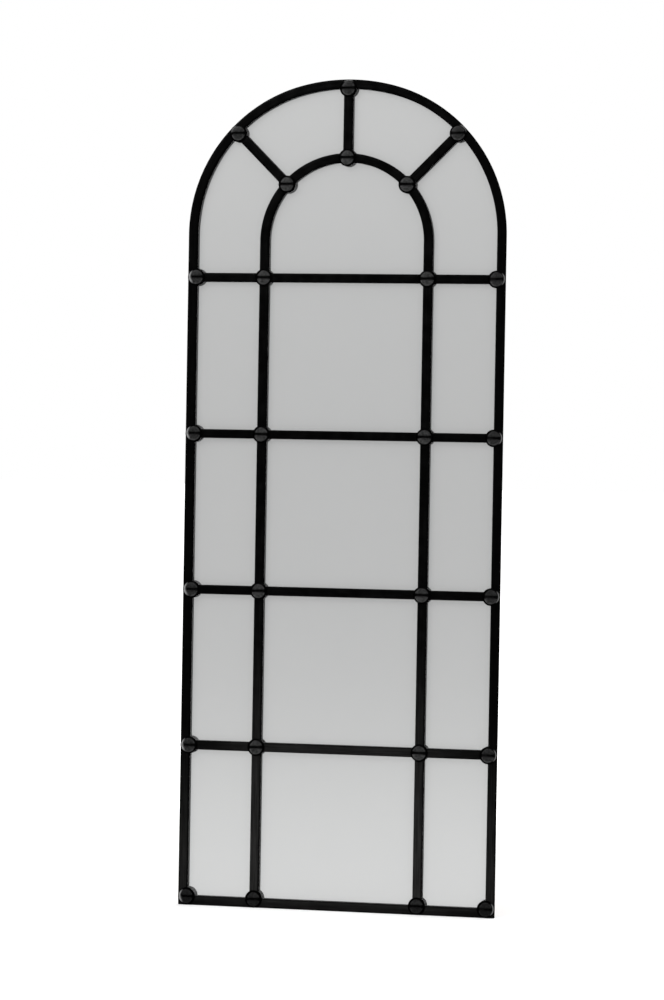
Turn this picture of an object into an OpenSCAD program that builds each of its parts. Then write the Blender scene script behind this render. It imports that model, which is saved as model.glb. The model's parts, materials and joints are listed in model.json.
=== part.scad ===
// Arched window-pane mirror: a grille of welded flat iron bars with slotted studs over every
// crossing, a single arched mirror glass behind it, and a board that closes the back.
// Millimetres. The front faces -Y, +Z is up, and the origin is the middle of the bottom rail's
// underside, at half the depth of the bars.

/* [Overall size] */
// Width over the two outer stiles
frame_w = 700; // [650:1:800]
// Height from the underside of the bottom rail to the crown of the arch
frame_h = 1798; // [1700:1:2000]

/* [Iron bars] */
// Width of every bar, seen from the front
bar_w = 19; // [15:0.5:24]
// Depth of every bar, from front to back
bar_d = 10; // [8:0.5:14]
// Bevel along the long edges of the bars
edge_break = 0.8; // [0.3:0.1:1.5]
// Rounding of the frame's two bottom corners
corner_r = 2; // [1:0.5:6]

/* [Arch] */
// Distance of each haunch's centre from the middle of the frame
haunch_inset = 17; // [8:1:30]
// How much larger the crown's radius is than the haunches'
crown_extra = 67; // [50:1:110]

/* [Window pattern] */
// Clear height of the square panes between two cross bars. The lowest pane takes what is left
pane_h = 321; // [280:1:360]
// Clear width between the two inner uprights
centre_pane_w = 342; // [310:1:380]
// Straight length of the inner uprights above the highest cross bar
spring_rise = 70; // [45:1:100]
// Length of the middle spoke, between the crowns of the two arches
middle_spoke_l = 140; // [110:1:180]
// Slope of the two side spokes in the arch, in degrees
spoke_angle = 45; // [38:1:52]
// How far the point that the spokes aim at lies below the centre of the inner arch
spoke_drop = 9.5; // [0:0.5:20]

/* [Studs] */
// Diameter of a stud's head
stud_d = 38; // [34:1:44]
// Height of a stud's head over the bars
stud_h = 6.5; // [5.5:0.5:9]
// Diameter of the flat crown, inside its rounded shoulder
crown_d = 29.2; // [26:0.2:30]
// Radius of the shoulder between the crown and the sloping rim
shoulder_r = 1.5; // [0.8:0.1:2]
// Height of the upright rim, below the sloping side
rim_h = 0.9; // [0.5:0.1:1.5]
// Slope of the crown at its edge, in degrees
crown_slope = 9; // [4:1:12]
// Length of the slot
slot_l = 28; // [20:1:28]
// Width of the slot
slot_w = 4.6; // [2:0.2:6]
// Depth of the slot
slot_depth = 2; // [1:0.2:3]
// Diameter of the peg behind a stud's head
peg_d = 6; // [4:0.5:8]
// Iron left between a peg's hole and the back of the bar
peg_stop = 1.5; // [1:0.1:3]

/* [Glass and board] */
// Distance of the glass and the board from the frame's outer edge
edge_inset = 11; // [10:0.5:13]
// Thickness of the glazing tape between the bars and the glass
tape_t = 2; // [1:0.5:3]
// Thickness of the mirror glass
glass_t = 4; // [3:0.5:6]
// Thickness of the backing board
board_t = 6; // [4:0.5:9]

/* [Clips] */
// Thickness of a retaining clip
clip_t = 1.5; // [1:0.1:2]
// Width of a retaining clip along the bar
clip_w = 16; // [12:1:24]
// How far a clip reaches over the board
clip_reach = 14; // [8:1:24]
// Distance between two clips on the bottom rail
foot_clip_pitch = 200; // [120:1:280]
// Angle between two clips on the arch, in degrees
arch_clip_step = 31; // [24:1:36]
// Diameter of a screw's shank
screw_d = 3.5; // [2.5:0.1:4]
// Length of a screw under its head
screw_l = 8; // [6:0.5:9]
// Diameter of a screw's head
screw_head_d = 7; // [6:0.1:7.4]
// Height of a screw's head
screw_head_h = 2.4; // [1.6:0.1:3.5]

/* [Hanging] */
// Distance of the hanging rings' pivots below the start of the arch
ring_drop = 63; // [30:1:140]
// Distance of each ring's middle from the frame's outer edge
ring_inset = 37; // [34:1:44]
// Height of a hanger bracket
bracket_h = 60; // [45:1:70]
// Thickness of a hanger bracket
bracket_t = 2; // [1.5:0.1:3]
// How far a bracket reaches over the board
bracket_reach = 46; // [42:1:60]
// Thickness of the ring's wire
wire_d = 4; // [3:0.5:5]
// Width of the ring between its wires' centres
ring_w = 30; // [26:1:32]
// Straight length of the ring's legs
ring_leg = 6; // [4:1:12]
// Length of the rolled knuckle that holds the ring
knuckle_l = 14; // [8:1:18]

/* [Wall bumpers] */
// Diameter of a bumper where it is stuck to the board
bumper_d = 20; // [14:1:26]
// Height of a bumper
bumper_h = 10; // [9:0.5:16]
// Distance of the lower bumpers from the frame's outer edge
low_bumper_inset = 60; // [40:1:150]
// Height of the lower bumpers over the floor
low_bumper_z = 70; // [50:1:120]
// Distance of the upper bumpers from the middle of the frame
top_bumper_x = 110; // [60:1:140]
// Distance of the upper bumpers below the crown of the arch
top_bumper_drop = 98; // [80:1:160]

/* [Hidden] */

LEFT = -1;
RIGHT = 1;
iron = "#1b1b1d";
stud_iron = "#3a3a3c";
zinc = "#a9adb0";

// Facets of the large arcs and of the small round features
arc_facets = 240;
small_facets = 48;
// Clearance round a stud's peg and past its end
peg_play = 0.1;
// Clearance round a screw in the iron and in the sheet it holds down
thread_play = 0.05;
sheet_play = 0.25;
// Margin between the tape and the edges that it lies between
tape_margin = 0.5;
// Clearance between a clip's upright part and the edge of the glass
clip_gap = 0.3;
// Margin of a clip's foot from the outer edge of the bar
foot_margin = 0.5;
// Running clearance of a ring in its knuckle, and its gap over the bracket
knuckle_play = 0.08;
ring_gap = 0.3;
// Gap between a knuckle and the board behind it
knuckle_gap = 0.15;
// Height of the plain bracket below the ring's pivot
knuckle_neck = 7;
// How much the arch's crown is dressed down where it is welded to the haunches
weld_dressing = 0.01;
// How far a cutting tool starts outside the piece
overcut = 1;
// How much narrower a bumper is at the wall
bumper_taper = 4;

half_w = frame_w / 2;
back = bar_d / 2;

// Three-centred arch: two haunches and a flatter crown, all tangent
haunch_r = half_w - haunch_inset;
crown_r = haunch_r + crown_extra;
arch_rise = crown_r - sqrt(crown_extra ^ 2 - haunch_inset ^ 2);
arch_z = frame_h - arch_rise;
crown_z = frame_h - crown_r;
split_angle = acos(haunch_inset / crown_extra);

// Bars of the window pattern. They are set out downwards from the crown of the arch, so that the
// rows of cross bars and the inner arch keep their places under it
upright_x = (centre_pane_w + bar_w) / 2;
spring_z = frame_h - bar_w - middle_spoke_l - upright_x - bar_w / 2;
pitch = pane_h + bar_w;
top_row_z = spring_z - spring_rise - bar_w / 2;
function row_z(row) = top_row_z - (4 - row) * pitch;
lowest_pane_mid = (bar_w + row_z(1) - bar_w / 2) / 2;
spoke_z = spring_z - spoke_drop;
side_angles = [180 - spoke_angle, spoke_angle];

// Places of the studs. The outer ones cover the inner edge of the outer bars, as near to the
// frame's outer edge as they can lie without standing over it
stud_r = stud_d / 2;
stud_inset = max(stud_r, bar_w);
edge_x = half_w - stud_inset;
column_z = concat([stud_inset], [for (row = [1:4]) row_z(row)]);
function row_spots(z) = [for (x = [-edge_x, -upright_x, upright_x, edge_x]) [x, z]];
// Distance from the point that the spokes aim at, along a line at an angle, to a circle round [cx, cz]
function reach(angle, cx, cz, r) =
    let (dx = cx, dz = cz - spoke_z, along = dx * cos(angle) + dz * sin(angle))
    along + sqrt(r ^ 2 - dx ^ 2 - dz ^ 2 + along ^ 2);
function polar(angle, r) = [r * cos(angle), spoke_z + r * sin(angle)];
function side_sign(angle) = angle > 90 ? LEFT : RIGHT;
function side_stud(angle) =
    polar(angle, reach(angle, side_sign(angle) * haunch_inset, arch_z, haunch_r - stud_inset));
crown_stud = [0, frame_h - stud_inset];
outer_arch_spots = [side_stud(side_angles[0]), crown_stud, side_stud(side_angles[1])];
inner_arch_spots =
    [for (a = [side_angles[0], 90, side_angles[1]]) polar(a, reach(a, 0, spring_z, upright_x))];

// Profile of a stud's head: domed crown, rounded shoulder, side that slopes down to the rim
shoulder_x = crown_d / 2;
dome_angle = 90 - crown_slope;
dome_r = shoulder_r + shoulder_x / cos(dome_angle);
dome_z = stud_h - dome_r;
shoulder_z = dome_z + shoulder_x * tan(dome_angle);
rim_dx = stud_r - shoulder_x;
rim_dz = rim_h - shoulder_z;
side_angle = atan2(rim_dz, rim_dx) + acos(shoulder_r / norm([rim_dx, rim_dz]));
function arc_points(cx, cy, r, from, to, steps) =
    [for (i = [0:steps]) let (a = from + (to - from) * i / steps) [cx + r * cos(a), cy + r * sin(a)]];
shoulder_steps = 5;
dome_steps = 4;

// Stack behind the bars
glass_y = back + tape_t;
board_y = glass_y + glass_t;
board_back = board_y + board_t;
tape_w = bar_w - edge_inset - 2 * tape_margin;

// Clips: the foot lies on the bar, the tongue on the board
clip_riser = edge_inset - clip_gap;
screw_u = (foot_margin + clip_riser - clip_t) / 2;
side_clip_z = concat([lowest_pane_mid], [for (row = [1:3]) row_z(row) + pitch / 2]);
foot_clip_x = [for (i = [-1:1]) i * foot_clip_pitch];
arch_clip_angles = [for (i = [-2:2]) 90 + i * arch_clip_step];
// Point of the frame's outer edge where the arch faces an angle
function arch_edge(angle) =
    angle < split_angle ? [haunch_inset + haunch_r * cos(angle), arch_z + haunch_r * sin(angle)]
    : angle > 180 - split_angle
    ? [haunch_r * cos(angle) - haunch_inset, arch_z + haunch_r * sin(angle)]
    : [crown_r * cos(angle), crown_z + crown_r * sin(angle)];
// Each place on the edge is [x, z, angle that the edge faces]
stile_clips = [for (z = side_clip_z) for (side = [LEFT, RIGHT]) [side * half_w, z, side == LEFT ? 180 : 0]];
foot_clips = [for (x = foot_clip_x) [x, 0, 270]];
arch_clips = [for (a = arch_clip_angles) let (p = arch_edge(a)) [p[0], p[1], a]];
clip_places = concat(stile_clips, foot_clips, arch_clips);

// Hanger brackets and their rings
wire_r = wire_d / 2;
ring_y = board_back + bracket_t + wire_r + ring_gap;
knuckle_bore_r = wire_r + knuckle_play;
knuckle_r = ring_y - board_back - knuckle_gap;
hanger_x = half_w - ring_inset;
hanger_z = arch_z - ring_drop;
bracket_top = hanger_z - knuckle_neck;
bracket_mid = bracket_top - bracket_h / 2;
bracket_riser = edge_inset - clip_gap;
bracket_screw_u = (foot_margin + bracket_riser - bracket_t) / 2;
bracket_screw_pitch = bracket_h / 3;
function hanger_places(side) =
    [for (k = [-1:1]) [side * half_w, bracket_mid + k * bracket_screw_pitch, side == LEFT ? 180 : 0]];

// Section of a bar, with bevelled edges
module bar_section(dressing = 0) {
    w = bar_w / 2 - dressing;
    d = bar_d / 2 - dressing;
    polygon([
        [-w, edge_break - d], [edge_break - w, -d], [w - edge_break, -d], [w, edge_break - d],
        [w, d - edge_break], [w - edge_break, d], [edge_break - w, d], [-w, d - edge_break]]);
}

// Upright bar from the height z0 to z1
module upright_bar(x, z0, z1) {
    translate([x, 0, z0]) linear_extrude(z1 - z0) bar_section();
}

// Level bar from x0 to x1
module level_bar(x0, x1, z) {
    translate([x0, 0, z]) rotate([0, 90, 0]) linear_extrude(x1 - x0) bar_section();
}

// Bent bar round the centre [cx, cz]. Its section can be dressed down a little on all sides
module bent_bar(cx, cz, outer_r, from, sweep, dressing = 0) {
    translate([cx, 0, cz]) rotate([90, 0, 0]) rotate([0, 0, from])
        rotate_extrude(angle = sweep, $fn = arc_facets)
            translate([outer_r - bar_w / 2, 0]) bar_section(dressing);
}

// Round blank through the whole depth of the bars, for trimming the spokes' ends
module trimming_disc(cx, cz, r) {
    translate([cx, 0, cz]) rotate([90, 0, 0])
        cylinder(r = r, h = bar_d + 2 * overcut, center = true, $fn = arc_facets);
}

// Bar with the stud holes drilled from the front and the screw holes from the back
module drilled(stud_spots = [], clips = [], hangers = []) {
    difference() {
        children();
        for (p = stud_spots)
            translate([p[0], -back - overcut, p[1]]) rotate([-90, 0, 0])
                cylinder(r = peg_d / 2 + peg_play, h = overcut + bar_d - peg_stop, $fn = small_facets);
        for (p = clips) screw_hole(p, screw_u, clip_t);
        for (p = hangers) screw_hole(p, bracket_screw_u, bracket_t);
    }
}

// Moves a piece drawn from the outer edge inwards along +X to a place on the frame's edge
module at_edge(place) {
    translate([place[0], 0, place[1]]) rotate([0, 180 - place[2], 0]) children();
}

module screw_hole(place, u, sheet) {
    depth = screw_l - sheet + thread_play;
    at_edge(place) translate([u, back - depth, 0]) rotate([-90, 0, 0])
        cylinder(r = screw_d / 2 + thread_play, h = depth + overcut, $fn = small_facets);
}

module left_stile() { stile(LEFT); }
module right_stile() { stile(RIGHT); }

module stile(side) {
    spots = [for (z = column_z) [side * edge_x, z]];
    clips = [for (p = stile_clips) if (sign(p[0]) == side) p];
    color(iron) drilled(spots, clips, hanger_places(side)) difference() {
        upright_bar(side * (half_w - bar_w / 2), 0, arch_z);
        translate([side * (half_w - corner_r), 0, corner_r]) corner_cutter(side);
    }
}

// What is ground off to round an outer bottom corner
module corner_cutter(side) {
    size = corner_r + overcut;
    depth = bar_d + 2 * overcut;
    difference() {
        translate([side > 0 ? 0 : -size, -depth / 2, -size]) cube([size, depth, size]);
        rotate([90, 0, 0]) cylinder(r = corner_r, h = depth + overcut, center = true, $fn = small_facets);
    }
}

module bottom_rail() {
    inner = half_w - bar_w;
    color(iron) drilled(row_spots(stud_inset), foot_clips) level_bar(-inner, inner, bar_w / 2);
}

module outer_arch() {
    color(iron) drilled(outer_arch_spots, arch_clips) union() {
        bent_bar(haunch_inset, arch_z, haunch_r, 0, split_angle);
        bent_bar(0, crown_z, crown_r, split_angle, 180 - 2 * split_angle, weld_dressing);
        bent_bar(-haunch_inset, arch_z, haunch_r, 180 - split_angle, split_angle);
    }
}

module left_upright() { inner_upright(LEFT); }
module right_upright() { inner_upright(RIGHT); }

module inner_upright(side) {
    spots = [for (z = column_z) [side * upright_x, z]];
    color(iron) drilled(spots) upright_bar(side * upright_x, bar_w, spring_z);
}

module inner_arch() {
    color(iron) drilled(inner_arch_spots) bent_bar(0, spring_z, upright_x + bar_w / 2, 0, 180);
}

module centre_cross_bar(row) {
    color(iron) level_bar(-centre_pane_w / 2, centre_pane_w / 2, row_z(row));
}

module side_cross_bar(row, side) {
    near = upright_x + bar_w / 2;
    far = half_w - bar_w;
    color(iron) drilled([[side * edge_x, row_z(row)]])
        level_bar(side > 0 ? near : -far, side > 0 ? far : -near, row_z(row));
}

// Spoke between the two arches, its ends cut to their curves
module spoke(angle, cx, cz, outer_r, studs) {
    color(iron) drilled(studs) difference() {
        intersection() {
            translate([0, 0, spoke_z]) rotate([0, 90 - angle, 0]) upright_bar(0, 0, frame_w);
            trimming_disc(cx, cz, outer_r);
        }
        trimming_disc(0, spring_z, upright_x + bar_w / 2);
    }
}

module side_spoke(i) {
    angle = side_angles[i];
    studs = [side_stud(angle)];
    spoke(angle, side_sign(angle) * haunch_inset, arch_z, haunch_r - bar_w, studs);
}

module left_spoke() { side_spoke(0); }
module right_spoke() { side_spoke(1); }
module middle_spoke() { spoke(90, 0, crown_z, crown_r - bar_w, [crown_stud]); }

// Slotted stud: head on the face of the bars, peg in its hole. Drawn along +Z
module stud() {
    peg_l = bar_d - peg_stop - peg_play;
    head = concat(
        [[0, 0], [stud_r, 0], [stud_r, rim_h]],
        arc_points(shoulder_x, shoulder_z, shoulder_r, side_angle, dome_angle, shoulder_steps),
        [for (i = [1:dome_steps]) let (a = dome_angle + crown_slope * i / dome_steps)
            i < dome_steps ? [dome_r * cos(a), dome_z + dome_r * sin(a)] : [0, stud_h]]);
    difference() {
        union() {
            rotate_extrude($fn = small_facets * 2) polygon(head);
            translate([0, 0, -peg_l]) cylinder(d = peg_d, h = peg_l + overcut, $fn = small_facets);
        }
        translate([0, 0, stud_h - slot_depth]) slot();
    }
}

// Straight slot with round ends
module slot() {
    run = slot_l - slot_w;
    translate([-run / 2, -slot_w / 2, 0]) cube([run, slot_w, slot_depth + overcut]);
    for (x = [-run / 2, run / 2])
        translate([x, 0, 0]) cylinder(d = slot_w, h = slot_depth + overcut, $fn = small_facets);
}

module studs(spots) {
    color(stud_iron) for (p = spots) translate([p[0], -back, p[1]]) rotate([90, 0, 0]) stud();
}

// Outline of the frame, drawn in by an inset
module arched_outline(inset) {
    w = half_w - inset;
    translate([-w, inset]) square([2 * w, arch_z - inset]);
    pie(haunch_inset, arch_z, haunch_r - inset, 0, split_angle);
    pie(0, crown_z, crown_r - inset, split_angle, 180 - split_angle);
    pie(-haunch_inset, arch_z, haunch_r - inset, 180 - split_angle, 180);
}

// Upright sheet of an outline, from y backwards
module sheet(y, t) {
    translate([0, y + t, 0]) rotate([90, 0, 0]) linear_extrude(t) children();
}

// Flat slice of a disc between two angles
module pie(cx, cz, r, from, to) {
    far = 2 * r;
    translate([cx, cz]) intersection() {
        circle(r = r, $fn = arc_facets);
        polygon([[0, 0], for (a = [from, (from + to) / 2, to]) [far * cos(a), far * sin(a)]]);
    }
}

// Tape between the glass and the backs of the outer bars, all round
module glazing_tape() {
    outer = edge_inset + tape_margin;
    color("#141414") sheet(back, tape_t) difference() {
        arched_outline(outer);
        arched_outline(outer + tape_w);
    }
}

module mirror_glass() { color("#c6cbcd") sheet(glass_y, glass_t) arched_outline(edge_inset); }
module backing_board() { color("#7c5a3a") sheet(board_y, board_t) arched_outline(edge_inset); }

// Stepped strip: foot on the bar, riser past the glass and the board, tongue over the board
module stepped_strip(t, width, over_board, riser) {
    profile = [
        [foot_margin, back], [riser, back], [riser, board_back], [edge_inset + over_board, board_back],
        [edge_inset + over_board, board_back + t], [riser - t, board_back + t], [riser - t, back + t],
        [foot_margin, back + t]];
    translate([0, 0, -width / 2]) linear_extrude(width) polygon(profile);
}

module retaining_clips() {
    color(zinc) for (p = clip_places) at_edge(p) difference() {
        stepped_strip(clip_t, clip_w, clip_reach, clip_riser);
        sheet_hole(screw_u);
    }
}

// Clearance hole for a screw through the foot of a clip or bracket
module sheet_hole(u) {
    translate([u, back - overcut, 0]) rotate([-90, 0, 0])
        cylinder(r = screw_d / 2 + sheet_play, h = bracket_t + 2 * overcut, $fn = small_facets);
}

// Pan-head screw standing on a sheet. Drawn along +Z, with the underside of its head at zero
module screw() {
    r = screw_head_d / 2;
    rotate_extrude($fn = small_facets) polygon([
        [0, -screw_l], [screw_d / 2, -screw_l], [screw_d / 2, 0], [r, 0],
        [r, screw_head_h * 0.4], [r * 0.86, screw_head_h * 0.8], [r * 0.5, screw_head_h],
        [0, screw_head_h]]);
}

module screws(places, u, sheet) {
    color(zinc) for (p = places)
        at_edge(p) translate([u, back + sheet, 0]) rotate([-90, 0, 0]) screw();
}

module clip_screws() { screws(clip_places, screw_u, clip_t); }

module hanger_screws() {
    screws(concat(hanger_places(LEFT), hanger_places(RIGHT)), bracket_screw_u, bracket_t);
}

// Bracket that carries a ring: a wide stepped strip with a tab rolled into a knuckle
module hanger_bracket(side) {
    color(zinc) difference() {
        union() {
            at_edge([side * half_w, bracket_mid, side == LEFT ? 180 : 0])
                stepped_strip(bracket_t, bracket_h, bracket_reach, bracket_riser);
            translate([side * hanger_x - knuckle_l / 2, board_back, bracket_top - overcut])
                cube([knuckle_l, bracket_t, knuckle_neck + overcut]);
            knuckle_rod(side, knuckle_r, knuckle_l);
        }
        knuckle_rod(side, knuckle_bore_r, knuckle_l + 2 * overcut);
        for (p = hanger_places(side)) at_edge(p) sheet_hole(bracket_screw_u);
    }
}

module knuckle_rod(side, r, l) {
    translate([side * hanger_x, ring_y, hanger_z]) rotate([0, 90, 0])
        cylinder(r = r, h = l, center = true, $fn = small_facets);
}

module left_hanger_bracket() { hanger_bracket(LEFT); }
module right_hanger_bracket() { hanger_bracket(RIGHT); }

// D-shaped wire ring, hanging from its straight side
module hanging_ring(side) {
    r = ring_w / 2;
    color("#c3c7ca") translate([side * hanger_x, ring_y, hanger_z]) {
        rotate([0, 90, 0]) cylinder(r = wire_r, h = ring_w, center = true, $fn = small_facets);
        for (x = [-r, r]) translate([x, 0, 0]) {
            sphere(r = wire_r, $fn = small_facets);
            translate([0, 0, -ring_leg]) cylinder(r = wire_r, h = ring_leg, $fn = small_facets);
        }
        translate([0, 0, -ring_leg]) rotate([90, 0, 0]) rotate([0, 0, 180])
            rotate_extrude(angle = 180, $fn = small_facets * 2)
                translate([r, 0]) circle(r = wire_r, $fn = small_facets);
    }
}

module left_hanging_ring() { hanging_ring(LEFT); }
module right_hanging_ring() { hanging_ring(RIGHT); }

module wall_bumpers() {
    top_z = frame_h - top_bumper_drop;
    low_x = half_w - low_bumper_inset;
    places = [[-low_x, low_bumper_z], [low_x, low_bumper_z], [-top_bumper_x, top_z], [top_bumper_x, top_z]];
    color("#202020") for (p = places) translate([p[0], board_back, p[1]]) rotate([-90, 0, 0])
        cylinder(d1 = bumper_d, d2 = bumper_d - bumper_taper, h = bumper_h, $fn = small_facets);
}

left_stile();
right_stile();
outer_arch();
bottom_rail();
left_upright();
right_upright();
inner_arch();
side_cross_bar(1, LEFT);  // cross_bar_1_left
centre_cross_bar(1);  // cross_bar_1_centre
side_cross_bar(1, RIGHT);  // cross_bar_1_right
side_cross_bar(2, LEFT);  // cross_bar_2_left
centre_cross_bar(2);  // cross_bar_2_centre
side_cross_bar(2, RIGHT);  // cross_bar_2_right
side_cross_bar(3, LEFT);  // cross_bar_3_left
centre_cross_bar(3);  // cross_bar_3_centre
side_cross_bar(3, RIGHT);  // cross_bar_3_right
side_cross_bar(4, LEFT);  // cross_bar_4_left
centre_cross_bar(4);  // cross_bar_4_centre
side_cross_bar(4, RIGHT);  // cross_bar_4_right
left_spoke();
middle_spoke();
right_spoke();
studs(row_spots(stud_inset));  // foot_studs
studs(row_spots(row_z(1)));  // row_1_studs
studs(row_spots(row_z(2)));  // row_2_studs
studs(row_spots(row_z(3)));  // row_3_studs
studs(row_spots(row_z(4)));  // row_4_studs
studs(outer_arch_spots);  // outer_arch_studs
studs(inner_arch_spots);  // inner_arch_studs
glazing_tape();
mirror_glass();
backing_board();
retaining_clips();
clip_screws();
left_hanger_bracket();
right_hanger_bracket();
hanger_screws();
left_hanging_ring();
right_hanging_ring();
wall_bumpers();
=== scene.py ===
# %% [markdown]
# # An arched window-pane mirror
# The object is a tall mirror behind a grille of flat iron bars, with a slotted round stud over
# every crossing. Its construction comes from the packed CAD model, which is loaded as a fixed
# frame. This script dresses it: every bar, stud, clip, screw, ring and bumper is built again with
# softened edges and an uneven surface, and every surface gets a procedural finish.

# %% Load the frame
import json
from math import acos, atan2, cos, hypot, pi, radians, sin, sqrt, tan

import bmesh
import bpy
from mathutils import Matrix, Vector


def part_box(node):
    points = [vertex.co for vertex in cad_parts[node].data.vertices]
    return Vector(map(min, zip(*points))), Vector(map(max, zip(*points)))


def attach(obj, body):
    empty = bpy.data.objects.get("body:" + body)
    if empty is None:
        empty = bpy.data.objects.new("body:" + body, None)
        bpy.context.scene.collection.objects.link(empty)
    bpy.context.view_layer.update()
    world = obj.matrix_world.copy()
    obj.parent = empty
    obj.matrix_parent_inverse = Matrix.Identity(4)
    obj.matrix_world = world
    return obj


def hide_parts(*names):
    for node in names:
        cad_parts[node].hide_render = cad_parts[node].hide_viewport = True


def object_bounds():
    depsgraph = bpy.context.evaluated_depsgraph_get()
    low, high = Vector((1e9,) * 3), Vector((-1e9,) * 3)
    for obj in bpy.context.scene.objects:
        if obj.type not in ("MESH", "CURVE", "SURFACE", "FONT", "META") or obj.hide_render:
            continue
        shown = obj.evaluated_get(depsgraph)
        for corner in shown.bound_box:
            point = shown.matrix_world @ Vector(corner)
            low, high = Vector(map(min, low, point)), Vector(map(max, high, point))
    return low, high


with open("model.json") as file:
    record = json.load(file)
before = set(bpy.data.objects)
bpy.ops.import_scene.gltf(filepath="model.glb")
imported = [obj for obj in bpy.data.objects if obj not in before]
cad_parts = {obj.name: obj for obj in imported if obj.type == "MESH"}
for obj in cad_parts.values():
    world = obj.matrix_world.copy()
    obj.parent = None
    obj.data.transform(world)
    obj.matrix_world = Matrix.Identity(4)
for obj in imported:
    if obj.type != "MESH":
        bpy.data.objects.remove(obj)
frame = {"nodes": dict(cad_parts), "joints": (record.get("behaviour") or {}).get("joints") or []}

cad_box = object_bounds()

# %% [markdown]
# ## The camera
# The photograph was taken from a little to the right of the mirror, at about the height of a
# person's waist and from far away, so the lens is long. Three turns are put together: the camera
# looks to the left, a touch downwards, and the picture leans by one degree.

# %% Camera
MM = 0.001
CAMERA_PLACE = Vector((1.6193, -7.6311, 1.0362))
CAMERA_YAW = radians(12.138)
CAMERA_DOWN = radians(1.0709)
CAMERA_ROLL = radians(0.9802)
CAMERA_LENS = 129.93

camera_data = bpy.data.cameras.new("camera")
camera_data.lens = CAMERA_LENS
camera = bpy.data.objects.new("camera", camera_data)
bpy.context.scene.collection.objects.link(camera)
camera.matrix_world = (
    Matrix.Translation(CAMERA_PLACE)
    @ Matrix.Rotation(CAMERA_YAW, 4, "Z")
    @ Matrix.Rotation(pi / 2 - CAMERA_DOWN, 4, "X")
    @ Matrix.Rotation(CAMERA_ROLL, 4, "Z"))
bpy.context.scene.camera = camera
bpy.context.scene.view_settings.view_transform = "Standard"
print("camera at", tuple(round(v, 3) for v in CAMERA_PLACE), "lens", CAMERA_LENS, "mm")

# %% [markdown]
# ## Sockets that calculate
# A shader or a Geometry Nodes tree is easier to read as arithmetic than as a list of links. The
# class below wraps one output socket. Its operators add Math nodes, and its method `node` adds any
# other node: the settings are made first, then every input gets a value or a wire.


# %% The Wire class
class Wire:
    """One output socket of a node tree, which Python's operators can calculate with."""

    def __init__(self, tree, socket=None):
        self.tree = tree
        self.socket = socket

    def node(self, kind, settings=None, inputs=None, output=0):
        """Adds a node and returns the wire of one of its outputs."""
        made = self.tree.nodes.new(kind)
        for name, value in (settings or {}).items():
            setattr(made, name, value)
        for name, value in (inputs or {}).items():
            for one in value if isinstance(value, list) else [value]:
                if isinstance(one, Wire):
                    self.tree.links.new(one.socket, made.inputs[name])
                else:
                    made.inputs[name].default_value = one
        return Wire(self.tree, made.outputs[output] if made.outputs else None)

    def out(self, name):
        """Another output of the same node."""
        return Wire(self.tree, self.socket.node.outputs[name])

    def math(self, operation, a, b=0.0):
        """Adds one Math node."""
        return self.node("ShaderNodeMath", {"operation": operation}, {0: a, 1: b})

    def __add__(self, other):
        return self.math("ADD", self, other)

    def __radd__(self, other):
        return self.math("ADD", other, self)

    def __sub__(self, other):
        return self.math("SUBTRACT", self, other)

    def __rsub__(self, other):
        return self.math("SUBTRACT", other, self)

    def __mul__(self, other):
        return self.math("MULTIPLY", self, other)

    def __rmul__(self, other):
        return self.math("MULTIPLY", other, self)

    def __truediv__(self, other):
        return self.math("DIVIDE", self, other)

    def __rtruediv__(self, other):
        return self.math("DIVIDE", other, self)

    def __pow__(self, other):
        return self.math("POWER", self, other)

    def __abs__(self):
        return self.math("ABSOLUTE", self)

    def ramp(self, low, high):
        """0 below low, 1 above high, and smooth between them. It also runs downwards."""
        return self.node(
            "ShaderNodeMapRange", {"interpolation_type": "SMOOTHSTEP"},
            {"Value": self, "From Min": low, "From Max": high})


def xyz(wire):
    """The three numbers of a vector."""
    parts = wire.node("ShaderNodeSeparateXYZ", inputs={0: wire})
    return parts, parts.out("Y"), parts.out("Z")


def vector(start, x=0.0, y=0.0, z=0.0):
    """A vector of three numbers, each of which may be a wire."""
    return start.node("ShaderNodeCombineXYZ", inputs={0: x, 1: y, 2: z})


print("the Wire class has", len([n for n in vars(Wire) if n.startswith("__")]), "special names")

# %% [markdown]
# ## Light
# A mirror has no look of its own: it shows what stands in front of it. In the photograph that is
# a plain pale studio, a little darker at eye level than towards the floor and the ceiling. So the
# world has one tone per direction for shiny surfaces, white for the camera, and an even soft
# level for everything that is matt.

# %% World
STUDIO_EYE_LEVEL = 0.455
STUDIO_CEILING = 0.95
CEILING_SPREAD = 28.0
SOFT_LIGHT = 0.60
WHITE = (1, 1, 1, 1)


def rays(start):
    """Whether the camera sees this, also through glass, and whether a shiny surface does."""
    path = start.node("ShaderNodeLightPath")
    return path.out("Is Camera Ray") + path.out("Is Transmission Ray"), path.out("Is Glossy Ray")


world = bpy.data.worlds.new("studio")
world.use_nodes = True
world.node_tree.nodes.clear()
bpy.context.scene.world = world
air = Wire(world.node_tree)
_, towards_back, upwards = xyz(air.node("ShaderNodeTexCoord", output="Generated"))
rise = upwards.math("MAXIMUM", upwards, 0.0)
dimmed = (STUDIO_CEILING - STUDIO_EYE_LEVEL) / (1.0 + CEILING_SPREAD * rise * rise)
front_tone = STUDIO_CEILING - dimmed
behind = towards_back.ramp(-0.05, 0.25)
shiny_tone = front_tone + (1.0 - front_tone) * behind
seen, glossy = rays(air)
level = seen + (1.0 - seen) * (glossy * shiny_tone + (1.0 - glossy) * SOFT_LIGHT)
sky = air.node("ShaderNodeBackground", inputs={"Color": WHITE, "Strength": level})
air.node("ShaderNodeOutputWorld", inputs={"Surface": sky})
print("world: eye level", STUDIO_EYE_LEVEL, "soft light", SOFT_LIGHT)

# %% [markdown]
# ### Lamps
# Three large square soft boxes give the studs their shape: one in front, one behind and one
# overhead. Small lamps or a sun would draw hard shadows and hot spots, and the world alone would
# leave everything flat. They stay weak, so that a colour renders about as it is written.

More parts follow.
